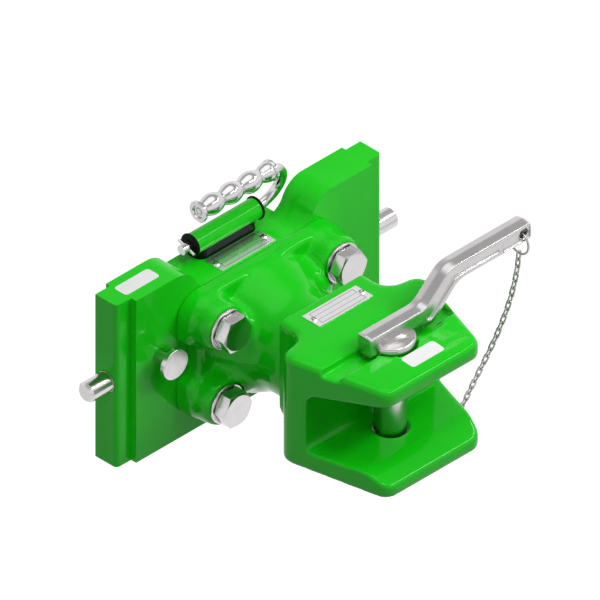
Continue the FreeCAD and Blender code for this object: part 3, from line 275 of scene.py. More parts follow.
@dataclass(frozen=True)
class Finish:
    """One finish of the hitch.

    Args:
        name: Name of the material.
        colour: Main linear colour.
        second: Colour of its patches.
        patch: Size of the patches, in metres.
        rough: Mean roughness.
        swing: How far the roughness swings.
        metallic: 1 for bare metal.
        grain: Its fine texture.
        grain_size: Size of the texture, in metres.
        grain_depth: Depth of the texture, in metres.
        specular: Specular level of a painted face.
        worn: Colour that shows along edges.
        wear: How much of it shows.
        painted_shade: How far hollow edges are darkened with painted shade, in place of the shade
            that falls in creases and grooves.
    """

    name: str
    colour: Colour
    second: Colour
    patch: float
    rough: float
    swing: float
    metallic: float
    grain: Grain
    grain_size: float
    grain_depth: float
    specular: float = 0.5
    worn: Colour = (0.5, 0.5, 0.5)
    wear: float = 0.0
    painted_shade: float = 0.0

    def relief(self, sheet: Sheet, place: Sock) -> Sock:
        """Height of the fine texture.

        Args:
            sheet: The node sheet.
            place: Object coordinates.

        Returns:
            A height from 0 to 1.
        """
        size = self.grain_size
        lines = {Grain.TURNED_X: (1.0, 0.02, 0.02), Grain.TURNED_Z: (0.02, 0.02, 1.0),
                 Grain.BRUSHED: (0.03, 1.0, 1.0)}.get(self.grain)
        if lines:
            return sheet.noise(sheet.scaled(place, lines), size, 3.0, 0.6)
        if self.grain is Grain.CAST:
            return sheet.noise(place, size * 6.0, 2.0) * 0.75 + sheet.noise(place, size, 3.0) * 0.25
        if self.grain is Grain.FORGED:
            return sheet.noise(place, size, 4.0, 0.65)
        if self.grain is Grain.PLATED:
            return sheet.node("ShaderNodeTexVoronoi", {"feature": "F1"},
                              {"Vector": place, "Scale": 1.0 / size}, 0)
        return sheet.noise(place, size, 1.5)

    def metal(self, sheet: Sheet, place: Sock) -> Sock:
        """Plain colour in soft patches.

        Args:
            sheet: The node sheet.
            place: Object coordinates.

        Returns:
            The colour.
        """
        return sheet.blend(sheet.noise(place, self.patch, 3.0), rgba(self.colour),
                           rgba(self.second))

    def colouring(self, sheet: Sheet, place: Sock) -> Sock:
        """Colour over the surface.

        Args:
            sheet: The node sheet.
            place: Object coordinates.

        Returns:
            The colour.
        """
        patches = sheet.noise(place, self.patch, 3.0)
        shade = sheet.blend((patches * 1.6 - 0.3).clipped(), rgba(self.colour), rgba(self.second))
        if not self.wear:
            return shade
        edge = sheet.node("ShaderNodeNewGeometry", {}, {}, "Pointiness")
        sharp = (edge - RUBBED[0]) * RUBBED[1]
        rubbed = (sharp * sheet.noise(place, 0.008, 3.0)).clipped() * self.wear
        shade = sheet.blend(rubbed, shade, rgba(self.worn))
        if not self.painted_shade:
            return shade
        # painted shade: hollow edges such as creases and grooves are darkened where shade would fall
        hollow = ((HOLLOW[0] - edge) * HOLLOW[1]).clipped() * self.painted_shade
        return sheet.blend(hollow, shade, rgba(PAINTED_SHADE_COLOUR))

    def material(self) -> bpy.types.Material:
        """Build the material, or give the one already built.

        Returns:
            The material.
        """
        made = bpy.data.materials.get(self.name)
        if made:
            return made
        made = bpy.data.materials.new(self.name)
        made.use_nodes = True
        made.node_tree.nodes.clear()
        sheet = Sheet(made.node_tree)
        place = sheet.place()
        height = self.relief(sheet, place)
        rough = sheet.noise(place, self.patch * 0.4, 3.0) * (2.0 * self.swing) + (
            self.rough - self.swing)
        bump = sheet.node("ShaderNodeBump", {}, {
            "Strength": 1.0, "Distance": self.grain_depth, "Height": height})
        shader = sheet.node("ShaderNodeBsdfPrincipled", {}, {
            "Base Color": self.colouring(sheet, place), "Roughness": rough, "Normal": bump,
            "Metallic": self.metallic, "Specular IOR Level": self.specular})
        sheet.node("ShaderNodeOutputMaterial", {}, {"Surface": shader})
        return made


ENAMEL = Finish(
    "green enamel", (0.009, 0.660, 0.008), (0.008, 0.610, 0.008), patch=0.06, rough=0.12,
    swing=0.04, metallic=0.0, grain=Grain.ENAMEL, grain_size=0.0030, grain_depth=0.000008,
    specular=0.13, worn=(0.06, 0.76, 0.05), wear=0.3)
CAST_ENAMEL = Finish(
    "green enamel on casting", (0.007, 0.620, 0.007), (0.006, 0.560, 0.006), patch=0.05,
    rough=0.11, swing=0.04, metallic=0.0, grain=Grain.CAST, grain_size=0.0022,
    grain_depth=0.00003, specular=0.20, worn=(0.06, 0.76, 0.05), wear=0.3)
TURNED = Finish(
    "turned steel along X", (0.62, 0.595, 0.60), (0.55, 0.53, 0.535), patch=0.03, rough=0.20,
    swing=0.06, metallic=1.0, grain=Grain.TURNED_X, grain_size=0.0007, grain_depth=0.000006)
TURNED_UP = Finish(
    "turned steel along Z", (0.56, 0.54, 0.545), (0.50, 0.48, 0.485), patch=0.03, rough=0.22,
    swing=0.06, metallic=1.0, grain=Grain.TURNED_Z, grain_size=0.0007, grain_depth=0.000006)
ZINC = Finish(
    "bright zinc plating", (0.60, 0.58, 0.585), (0.53, 0.515, 0.52), patch=0.012, rough=0.20,
    swing=0.06, metallic=1.0, grain=Grain.PLATED, grain_size=0.0016, grain_depth=0.000008)
# forged steel: rubbed bright edges, and painted shade in its hollow edges and grooves
FORGED = Finish(
    "forged steel", (0.56, 0.55, 0.548), (0.50, 0.49, 0.488), patch=0.02, rough=0.26,
    swing=0.06, metallic=1.0, grain=Grain.FORGED, grain_size=0.0011, grain_depth=0.000016,
    worn=(0.80, 0.79, 0.79), wear=0.6, painted_shade=0.85)
PLAIN = Finish(
    "plain steel", (0.38, 0.37, 0.37), (0.30, 0.29, 0.285), patch=0.015, rough=0.34,
    swing=0.08, metallic=1.0, grain=Grain.FORGED, grain_size=0.0016, grain_depth=0.00002)
POLISHED = Finish(
    "polished steel", (0.60, 0.59, 0.592), (0.55, 0.54, 0.542), patch=0.03, rough=0.10,
    swing=0.03, metallic=1.0, grain=Grain.BRUSHED, grain_size=0.0009, grain_depth=0.000002)
BLACK = Finish(
    "black oxide", (0.003, 0.007, 0.004), (0.005, 0.010, 0.006), patch=0.012, rough=0.33,
    swing=0.08, metallic=0.0, grain=Grain.FORGED, grain_size=0.0012, grain_depth=0.00002,
    specular=0.06)
BRONZE = Finish(
    "bearing bronze", (0.45, 0.24, 0.09), (0.38, 0.19, 0.07), patch=0.02, rough=0.3,
    swing=0.07, metallic=1.0, grain=Grain.FORGED, grain_size=0.0012, grain_depth=0.00001)
CHAIN_ZINC = Finish(
    "zinc chain", (0.50, 0.485, 0.48), (0.40, 0.385, 0.37), patch=0.004, rough=0.27,
    swing=0.08, metallic=1.0, grain=Grain.PLATED, grain_size=0.0010, grain_depth=0.000008)
LABEL = Finish(
    "blank label film", (0.86, 0.88, 0.86), (0.80, 0.82, 0.80), patch=0.02, rough=0.35,
    swing=0.06, metallic=0.0, grain=Grain.ENAMEL, grain_size=0.0015, grain_depth=0.000006,
    specular=0.4)


@dataclass(frozen=True)
class PlateFinish(Finish):
    """Aluminium nameplate with a printed frame and empty ruled rows.

    Args:
        middle: Centre of the plate, in metres.
        half: Half its length and half its width.
        rows: How many empty rows it has.
        margin: From the plate's ends and sides to the printed frame.
        line: Width of the frame's line.
        rule: Half the width of a rule between rows.
    """

    middle: Point = (0.0, 0.0)
    half: Point = (0.03, 0.01)
    rows: int = 3
    margin: Point = (0.0058, 0.0022)
    line: float = 0.0006
    rule: float = 0.00022

    def colouring(self, sheet: Sheet, place: Sock) -> Sock:
        """Bare metal with a dark printed frame and thin rules.

        Args:
            sheet: The node sheet.
            place: Object coordinates.

        Returns:
            The colour.
        """
        across = abs(sheet.axis(place, "X") - self.middle[0])
        up = sheet.axis(place, "Y") - self.middle[1]
        long, high = (half - margin for half, margin in zip(self.half, self.margin))
        field = (across < long - self.line) * (abs(up) < high - self.line)
        rules = (across < long) * (abs(up) < high) - field
        for row in range(1, self.rows + 1):
            level = row * 2.0 * high / (self.rows + 1) - high
            rules = rules + (abs(up - level) < self.rule) * field
        return sheet.blend(rules.clipped() * 0.75, self.metal(sheet, place), rgba(self.worn))


@dataclass(frozen=True)
class RingFinish(Finish):
    """Drive rivet with a dark groove round its centre dot.

    Args:
        middle: Y of the two rivets.
        apart: X of each rivet from the middle.
        groove: Inner and outer radius of the groove.
    """

    middle: float = 0.0
    apart: float = 0.028
    groove: Point = (0.0012, 0.0022)

    def colouring(self, sheet: Sheet, place: Sock) -> Sock:
        """Bright rivet with a dark ring.

        Args:
            sheet: The node sheet.
            place: Object coordinates.

        Returns:
            The colour.
        """
        across = abs(sheet.axis(place, "X")) - self.apart
        along = sheet.axis(place, "Y") - self.middle
        away = across * across + along * along
        ring = (away > self.groove[0] ** 2) * (away < self.groove[1] ** 2)
        return sheet.blend(ring * 0.85, self.metal(sheet, place), rgba(self.worn))


class Mesher:
    """Small tools round bmesh that the sub-assemblies share."""

    @staticmethod
    def copy(node: str) -> bmesh.types.BMesh:
        """Merged copy of a CAD node's mesh.

        Args:
            node: Name of the node.

        Returns:
            The copy, closed.
        """
        made = bmesh.new()
        made.from_mesh(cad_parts[node].data)
        bmesh.ops.remove_doubles(made, verts=made.verts, dist=JOIN)
        return made

    @staticmethod
    def cleaned(node: str) -> bmesh.types.BMesh:
        """Copy of a CAD node's mesh whose flat faces are whole.

        Args:
            node: Name of the node.

        Returns:
            The copy, closed.
        """
        made = Mesher.copy(node)
        bmesh.ops.dissolve_limit(made, angle_limit=math.radians(FLAT), verts=made.verts,
                                 edges=made.edges)
        return made

    @staticmethod
    def soften(shape: bmesh.types.BMesh, width: float, angle: float, segments: int = 2) -> None:
        """Round the sharp edges of a shape.

        Args:
            shape: The shape, changed in place.
            width: Width of the rounding, in metres.
            angle: Edges sharper than this, in degrees, are rounded.
            segments: Steps in each rounding.
        """
        sharp = [edge for edge in shape.edges if len(edge.link_faces) == 2
                 and edge.calc_face_angle(0.0) > math.radians(angle)]
        bmesh.ops.bevel(shape, geom=sharp, offset=width, offset_type="OFFSET",
                        segments=segments, profile=0.5, affect="EDGES", clamp_overlap=True,
                        material=-1)

    @staticmethod
    def turned(line: list[Place], centre: Place, axis: Place, steps: int,
               merge: float = SAME) -> bmesh.types.BMesh:
        """Turn a profile round an axis.

        Args:
            line: Places along the profile, from axis to axis.
            centre: A place on the axis.
            axis: Its direction.
            steps: Steps in the full turn.
            merge: Distance under which points are one.

        Returns:
            The closed shape.
        """
        shape = bmesh.new()
        verts = [shape.verts.new(place) for place in line]
        edges = [shape.edges.new(pair) for pair in zip(verts, verts[1:])]
        bmesh.ops.spin(shape, geom=verts + edges, cent=centre, axis=axis, angle=math.tau,
                       steps=steps, use_merge=True, use_duplicate=False)
        bmesh.ops.remove_doubles(shape, verts=shape.verts, dist=merge)
        return shape

    @staticmethod
    def placed(name: str, shape: bmesh.types.BMesh) -> bpy.types.Object:
        """Put a shape in the scene.

        Args:
            name: Name of the object.
            shape: Its mesh, freed here.

        Returns:
            The object.
        """
        mesh = bpy.data.meshes.new(name)
        shape.to_mesh(mesh)
        shape.free()
        made = bpy.data.objects.new(name, mesh)
        bpy.context.scene.collection.objects.link(made)
        return made

    @staticmethod
    def piece(name: str, shape: bmesh.types.BMesh, body: str, slot: str,
              finish: Finish, smooth: float = 35.0) -> bpy.types.Object:
        """Make a bmesh a piece of the hitch.

        Args:
            name: Name of the piece.
            shape: Its mesh, freed here.
            body: The CAD body that it rides on.
            slot: Not used.
            finish: Its finish.
            smooth: Angle in degrees under which an edge is shaded smooth.

        Returns:
            The object.
        """
        bmesh.ops.recalc_face_normals(shape, faces=shape.faces)
        for face in shape.faces:
            face.smooth = True
        for edge in shape.edges:
            if len(edge.link_faces) == 2 and edge.calc_face_angle(0.0) > math.radians(smooth):
                edge.smooth = False
        made = Mesher.placed(name, shape)
        made.data.materials.append(finish.material())
        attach(made, body)
        log.info("%s: %d faces on %s", name, len(made.data.polygons), body)
        return made

    @staticmethod
    def refined(node: str, body: str, slot: str, finish: Finish, round_by: float,
                segments: int = 2) -> bpy.types.Object:
        """Replace a CAD node by its copy with rounded edges.

        Args:
            node: Name of the node.
            body: Its body.
            slot: Its material slot.
            finish: Its finish.
            round_by: Width of the rounding, in metres.
            segments: Steps in each rounding.

        Returns:
            The object.
        """
        shape = Mesher.cleaned(node)
        Mesher.soften(shape, round_by, SHARP, segments)
        made = Mesher.piece(node + "_rounded", shape, body, slot, finish, 60.0)
        weighted = made.modifiers.new("weighted", "WEIGHTED_NORMAL")
        weighted.keep_sharp = True
        weighted.mode = "FACE_AREA_WITH_ANGLE"
        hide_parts(node)
        return made

    @staticmethod
    def sculpted(shape: bmesh.types.BMesh, node: str, name: str, body: str, slot: str,
                 finish: Finish, grid: float, rounds: int,
                 kept: Callable[[Vector], bool]) -> bpy.types.Object:
        """Replace a CAD casting by a shape with soft fillets and edges.

        Args:
            shape: Closed mesh of the casting, freed here.
            node: Name of the node that it replaces.
            name: Name of the piece.
            body: Its body.
            slot: Its material slot.
            finish: Its finish.
            grid: Size of the sculpting grid.
            rounds: Smoothing passes.
            kept: Says whether a point stays where the CAD has it.

        Returns:
            The object.
        """
        block = Mesher.placed("casting_block", shape)
        remesh = block.modifiers.new("remesh", "REMESH")
        remesh.mode = "VOXEL"
        remesh.voxel_size = grid
        found = block.evaluated_get(bpy.context.evaluated_depsgraph_get())
        shape = bmesh.new()
        shape.from_mesh(found.to_mesh())
        found.to_mesh_clear()
        bpy.data.objects.remove(block)
        loose = [vert for vert in shape.verts if not kept(vert.co)]
        for _ in range(rounds):
            bmesh.ops.smooth_vert(shape, verts=loose, factor=0.5, use_axis_x=True,
                                  use_axis_y=True, use_axis_z=True)
        made = Mesher.piece(name, shape, body, slot, finish, 50.0)
        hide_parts(node)
        return made

    @staticmethod
    def dress(node: str, finish: Finish) -> None:
        """Give a carried-over CAD node its finish.

        Args:
            node: Name of the node.
            finish: The finish.
        """
        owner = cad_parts[node]
        if not owner.material_slots:
            owner.data.materials.append(finish.material())
        for place in owner.material_slots:
            place.material = finish.material()

    @staticmethod
    def surface(node: str) -> BVHTree:
        """Search tree of a CAD node's surface.

        Args:
            node: Name of the node.

        Returns:
            The tree.
        """
        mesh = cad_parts[node].data
        return BVHTree.FromPolygons([v.co for v in mesh.vertices],
                                    [tuple(p.vertices) for p in mesh.polygons])

    @staticmethod
    def film(name: str, centre: Point, size: Point, under: str, body: str, slot: str,
             finish: Finish, corner: float = 0.003) -> bpy.types.Object:
        """Lay a thin film with rounded corners on a node's upper face.

        Args:
            name: Name of the piece.
            centre: X and Y of its middle.
            size: Its length along X and Y.
            under: The node that it lies on.
            body: The body that it rides on.
            slot: Its material slot.
            finish: Its finish.
            corner: Corner radius.

        Returns:
            The object.
        """
        shape = bmesh.new()
        bmesh.ops.create_grid(shape, x_segments=1, y_segments=1, size=0.5)
        bmesh.ops.scale(shape, vec=(size[0], size[1], 1.0), verts=shape.verts)
        bmesh.ops.bevel(shape, geom=shape.verts[:], offset=corner, segments=6, profile=0.5,
                        affect="VERTICES", material=-1)
        bmesh.ops.translate(shape, vec=(centre[0], centre[1], 0.0), verts=shape.verts)
        tree = Mesher.surface(under)
        for vert in shape.verts:
            hit = tree.ray_cast(Vector((vert.co.x, vert.co.y, 0.2)), Vector((0, 0, -1)))[0]
            vert.co.z = hit.z + FILM_GAP
        grown = bmesh.ops.extrude_face_region(shape, geom=shape.faces[:])
        top = [item for item in grown["geom"] if isinstance(item, bmesh.types.BMVert)]
        bmesh.ops.translate(shape, vec=(0.0, 0.0, FILM_THICK), verts=top)
        return Mesher.piece(name, shape, body, slot, finish)


@dataclass(frozen=True)
class Lamp:
    """A soft rectangular lamp that looks at the hitch.

    Args:
        name: Name of the lamp.
        place: Its place.
        size: Length and width.
        power: Power in watts.
        mirrored: Whether gloss shows it.
    """

    name: str
    place: Place
    size: Point
    power: float
    mirrored: bool = False


@dataclass
class Studio:
    """Camera, lamps, world and floor.

    Args:
        target: The point in the middle of the picture.
        width: Width of the picture, in metres.
        far: Distance of the camera.
        floor_level: Height of the floor.
        floor_half: Half the floor's length.
        soft: Strength of the surroundings' diffuse light.
        glow: Brightness that the floor adds for camera and gloss.
        panels: Strength of the surroundings in gloss, from the floor to the zenith.
        lamps: The lamps.
    """

    target: Place = (0.0269, -0.0454, 0.01585)
    width: float = 0.498
    far: float = 2.5
    floor_level: float = -0.62
    floor_half: float = 6.0
    soft: float = 0.20
    glow: float = 0.66
    panels: tuple[Stop, ...] = (
        (0.0, (1.15, 1.15, 1.15, 1)), (0.36, (1.25, 1.25, 1.25, 1)),
        (0.56, (0.78, 0.78, 0.78, 1)), (0.70, (0.55, 0.55, 0.55, 1)),
        (0.84, (0.60, 0.60, 0.60, 1)), (0.93, (1.7, 1.7, 1.7, 1)))
    lamps: tuple[Lamp, ...] = (
        Lamp("overhead", (-0.05, -0.30, 1.6), (1.0, 1.0), 9.6),
        Lamp("front", (0.75, -1.25, 1.15), (0.7, 0.7), 7.0),
        Lamp("left", (-1.50, -0.30, 0.55), (0.8, 0.8), 3.0),
        Lamp("strip", (0.89, -0.74, 1.04), (1.1, 0.08), 5.6, True),
        Lamp("spark", (0.10, -1.00, 1.10), (0.5, 0.10), 2.4, True))

    def camera(self) -> None:
        """Set the camera square to the view from the front left and above."""
        lens = bpy.data.cameras.new("camera")
        lens.type = "ORTHO"
        lens.ortho_scale = self.width
        lens.clip_end = 20.0
        made = bpy.data.objects.new("camera", lens)
        bpy.context.scene.collection.objects.link(made)
        away = Vector((-1.0, -1.0, 1.0)).normalized()
        made.location = Vector(self.target) + away * self.far
        made.rotation_euler = away.to_track_quat("Z", "Y").to_euler()
        bpy.context.scene.camera = made

    def hang(self, lamp: Lamp) -> None:
        """Hang a lamp.

        Args:
            lamp: The lamp.
        """
        light = bpy.data.lights.new(lamp.name, "AREA")
        light.shape = "RECTANGLE"
        light.size, light.size_y = lamp.size
        light.energy = lamp.power
        made = bpy.data.objects.new(lamp.name, light)
        bpy.context.scene.collection.objects.link(made)
        made.location = lamp.place
        made.visible_glossy = lamp.mirrored
        away = Vector(lamp.place) - Vector(self.target)
        made.rotation_euler = away.to_track_quat("Z", "Y").to_euler()

    def world(self) -> None:
        """White surroundings for the camera, panels for gloss and a softer light."""
        made = bpy.data.worlds.new("studio")
        made.use_nodes = True
        made.node_tree.nodes.clear()
        sheet = Sheet(made.node_tree)
        glossy = sheet.node("ShaderNodeLightPath", {}, {}, "Is Glossy Ray")
        height = sheet.axis(sheet.node("ShaderNodeTexCoord", {}, {}, "Generated"), "Z")
        panels = sheet.node("ShaderNodeValToRGB", {"stops": self.panels}, {0: height})
        straight = (self.seen(sheet) - glossy).clipped()
        strength = straight * (1.0 - self.soft) + (1.0 - glossy) * self.soft + glossy * panels
        back = sheet.node("ShaderNodeBackground", {}, {"Color": WHITE, "Strength": strength})
        sheet.node("ShaderNodeOutputWorld", {}, {"Surface": back})
        bpy.context.scene.world = made

    def seen(self, sheet: Sheet) -> Sock:
        """1 for camera, mirror and glass rays.

        Args:
            sheet: The node sheet.

        Returns:
            The mask.
        """
        camera, glossy, through = (
            sheet.node("ShaderNodeLightPath", {}, {}, f"Is {kind} Ray")
            for kind in ("Camera", "Glossy", "Transmission"))
        return (camera + glossy + through).clipped()

    def floor(self) -> None:
        """Lay a plain pale floor that keeps the hitch's shadow."""
        shape = bmesh.new()
        bmesh.ops.create_grid(shape, x_segments=1, y_segments=1, size=self.floor_half)
        bmesh.ops.translate(shape, vec=(0.0, 0.0, self.floor_level), verts=shape.verts)
        made = Mesher.placed("floor", shape)
        paint = bpy.data.materials.new("pale floor")
        paint.use_nodes = True
        paint.node_tree.nodes.clear()
        sheet = Sheet(paint.node_tree)
        seen = self.seen(sheet)
        matt = sheet.node("ShaderNodeBsdfDiffuse", {}, {
            "Color": sheet.blend(seen, (0.30, 0.30, 0.30, 1), (0.80, 0.80, 0.80, 1))})
        glow = sheet.node("ShaderNodeEmission", {}, {"Color": WHITE,
                                                     "Strength": seen * self.glow})
        both = sheet.node("ShaderNodeAddShader", {}, {0: matt, 1: glow})
        sheet.node("ShaderNodeOutputMaterial", {}, {"Surface": both})
        made.data.materials.append(paint)

    def build(self) -> None:
        """Set the whole studio."""
        self.camera()
        self.world()
        self.floor()
        for lamp in self.lamps:
            self.hang(lamp)
        bpy.context.scene.view_settings.view_transform = "Standard"


@dataclass
class SlideFrame:
    """Slide frame with its locks, cover, stud, nameplate and springs.

    Args:
        body: The CAD body.
        label_centre: Middle of the blank label on the left shoulder.
        label_size: Size of that label.
        spring_keep: Not used.
    """

    body: str = "frame"
    label_centre: Point = (-0.1187, 0.0004)
    label_size: Point = (0.040, 0.015)
    spring_keep: float = 0.29

    def springs(self) -> None:
        """Copy the lift springs as a piece with a mesh of its own."""
        made = Mesher.piece("lift_spring_coils", Mesher.copy("lift_springs"), self.body,
                            "plain_steel", PLAIN, 50.0)
        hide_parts("lift_springs")
        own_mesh(made)

    def build(self) -> None:
        """Dress the frame and its small parts."""
        Mesher.dress("slide_frame", ENAMEL)
        Mesher.refined("rear_cover", self.body, "green_paint", ENAMEL, 0.0006)
        Mesher.dress("rear_cover_screws", ZINC)
        Mesher.dress("hook_stud", ZINC)
        Mesher.dress("swivel_bush", BRONZE)
        self.springs()
        for side in ("left", "right"):
            Mesher.dress(f"{side}_lock_pin", TURNED)
            Mesher.dress(f"{side}_follower", TURNED)
        Mesher.film("shoulder_label", self.label_centre, self.label_size, "slide_frame",
                    self.body, "aluminium_plate", LABEL)
        Plate("frame_nameplate", self.body).build()


@dataclass
class Plate:
    """Blank nameplate with its rivets.

    Args:
        node: The plate's CAD node.
        body: The CAD body.
        rows: Empty rows on it.
        edge: Width of its rounded edges.
        rivet_apart: X of each rivet from the middle.
    """

    node: str
    body: str
    rows: int = 2
    edge: float = 0.0002
    rivet_apart: float = 0.028

    def build(self) -> None:
        """Round the plate's edges, print its frame and set its rivets."""
        low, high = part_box(self.node)
        middle = (low + high) * 0.5
        finish = PlateFinish(
            self.node + " aluminium", (0.95, 0.93, 0.945), (0.88, 0.86, 0.87), patch=0.006,
            rough=0.30, swing=0.07, metallic=1.0, grain=Grain.BRUSHED, grain_size=0.0004,
            grain_depth=0.000004, worn=(0.03, 0.035, 0.03), middle=(middle.x, middle.y),
            half=((high.x - low.x) / 2, (high.y - low.y) / 2), rows=self.rows)
        Mesher.refined(self.node, self.body, "aluminium_plate", finish, self.edge)
        rivet = RingFinish(
            self.node + " rivet", (0.86, 0.84, 0.84), (0.78, 0.76, 0.76), patch=0.004,
            rough=0.22, swing=0.05, metallic=1.0, grain=Grain.PLATED, grain_size=0.0008,
            grain_depth=0.000004, worn=(0.05, 0.055, 0.05), middle=middle.y,
            apart=self.rivet_apart)
        Mesher.dress(self.node + "_rivets", rivet)


@dataclass
class BearingHousing:
    """Cast bearing housing with its bolts and washers.

    Args:
        body: The CAD body.
        grid: Size of the sculpting grid.
        rounds: Smoothing passes.
        bolt_x: Bolt centre from the middle.
        bolt_z: Bolt centre from the axis.
        spot_radius: Radius kept flat round each bolt.
        spot_level: Where the flats begin.
        bore: Radius kept round the swivel bush.
        back: Where the mounting face begins.
        undercut: Height of the washer face under each bolt head.
        face: Radius of the washer face, as a share of half the width across flats.
        crown: The same for the face on top, inside its chamfer.
        chamfer: Slope of that chamfer, in degrees.
        shank: Radius of a bolt's shank.
        shank_gap: How far the shank ends before the CAD bolt's end.
        edge: Width of the rounded edges of a head.
    """

    body: str = "frame"
    grid: float = 0.0016
    rounds: int = 13
    bolt_x: float = 0.0675
    bolt_z: float = 0.038
    spot_radius: float = 0.0205
    spot_level: float = -0.0575
    bore: float = 0.0385
    back: float = -0.0205
    undercut: float = 0.0009
    face: float = 0.93
    crown: float = 0.95
    chamfer: float = 24.0
    shank: float = 0.01
    shank_gap: float = 0.0004
    edge: float = 0.0003

    def kept(self, place: Vector) -> bool:
        """Say whether a point stays where the CAD has it.

        Args:
            place: The point.

        Returns:
            True where the casting is machined.
        """
        if place.y > self.back:
            return True
        if math.hypot(place.x, place.z) < self.bore:
            return True
        off = math.hypot(abs(place.x) - self.bolt_x, abs(place.z) - self.bolt_z)
        return off < self.spot_radius and place.y > self.spot_level

    def head(self, low: float, seat: float, end: float, corner: float) -> bmesh.types.BMesh:
        """Turn a bolt head, cut its six flats and add the shank.

        Args:
            low: Y of the head's top.
            seat: Y of the washer under it.
            end: Y of the shank's end.
            corner: Radius over the corners.

        Returns:
            The bolt, on the Y axis.
        """
        flat = corner * math.cos(math.pi / 6.0)
        drop = (corner - flat * self.crown) * math.tan(math.radians(self.chamfer))
        made = Mesher.turned([(radius, level, 0.0) for radius, level in (
            (0.0, low), (flat * self.face, low), (flat * self.crown, low + 0.0001),
            (corner, low + drop), (corner, seat - self.undercut),
            (flat * self.face, seat - self.undercut), (flat * self.face, seat), (0.0, seat))],
            (0.0, 0.0, 0.0), (0.0, 1.0, 0.0), 96)
        for side in range(6):
            turn = math.radians(30.0 + 60.0 * side)
            way = Vector((math.cos(turn), 0.0, math.sin(turn)))
            cut = bmesh.ops.bisect_plane(
                made, geom=made.verts[:] + made.edges[:] + made.faces[:], dist=SAME,
                plane_co=way * flat, plane_no=way, clear_outer=True)
            border = [item for item in cut["geom_cut"] if isinstance(item, bmesh.types.BMEdge)]
            bmesh.ops.holes_fill(made, edges=border, sides=0)
        bmesh.ops.create_cone(
            made, cap_ends=True, segments=40, radius1=self.shank, radius2=self.shank,
            depth=end - seat - self.shank_gap,
            matrix=Matrix.Translation((0.0, (end + seat) / 2, 0.0))
            @ Matrix.Rotation(math.pi / 2, 4, "X"))
        bmesh.ops.recalc_face_normals(made, faces=made.faces)
        Mesher.soften(made, self.edge, 20.0)
        return made

    def bolts(self) -> None:
        """Make the four bolts one piece."""
        low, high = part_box("bearing_bolts")
        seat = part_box("bolt_washers")[0].y
        whole = bmesh.new()
        for side, up in ((-1, -1), (-1, 1), (1, -1), (1, 1)):
            bolt = self.head(low.y, seat, high.y, high.x - self.bolt_x)
            bmesh.ops.translate(bolt, vec=(side * self.bolt_x, 0.0, up * self.bolt_z),
                                verts=bolt.verts)
            held = bpy.data.meshes.new("bolt")
            bolt.to_mesh(held)
            bolt.free()
            whole.from_mesh(held)
            bpy.data.meshes.remove(held)
        made = Mesher.piece("bolt_set", whole, self.body, "zinc_fasteners", ZINC, 18.0)
        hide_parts("bearing_bolts")

    def build(self) -> None:
        """Make the casting and finish its fasteners."""
        Mesher.sculpted(Mesher.copy("bearing_housing"), "bearing_housing", "bearing_casting",
                        self.body, "green_paint", CAST_ENAMEL, self.grid, self.rounds, self.kept)
        self.bolts()
        Mesher.refined("bolt_washers", self.body, "zinc_fasteners", ZINC, 0.0009, segments=3)


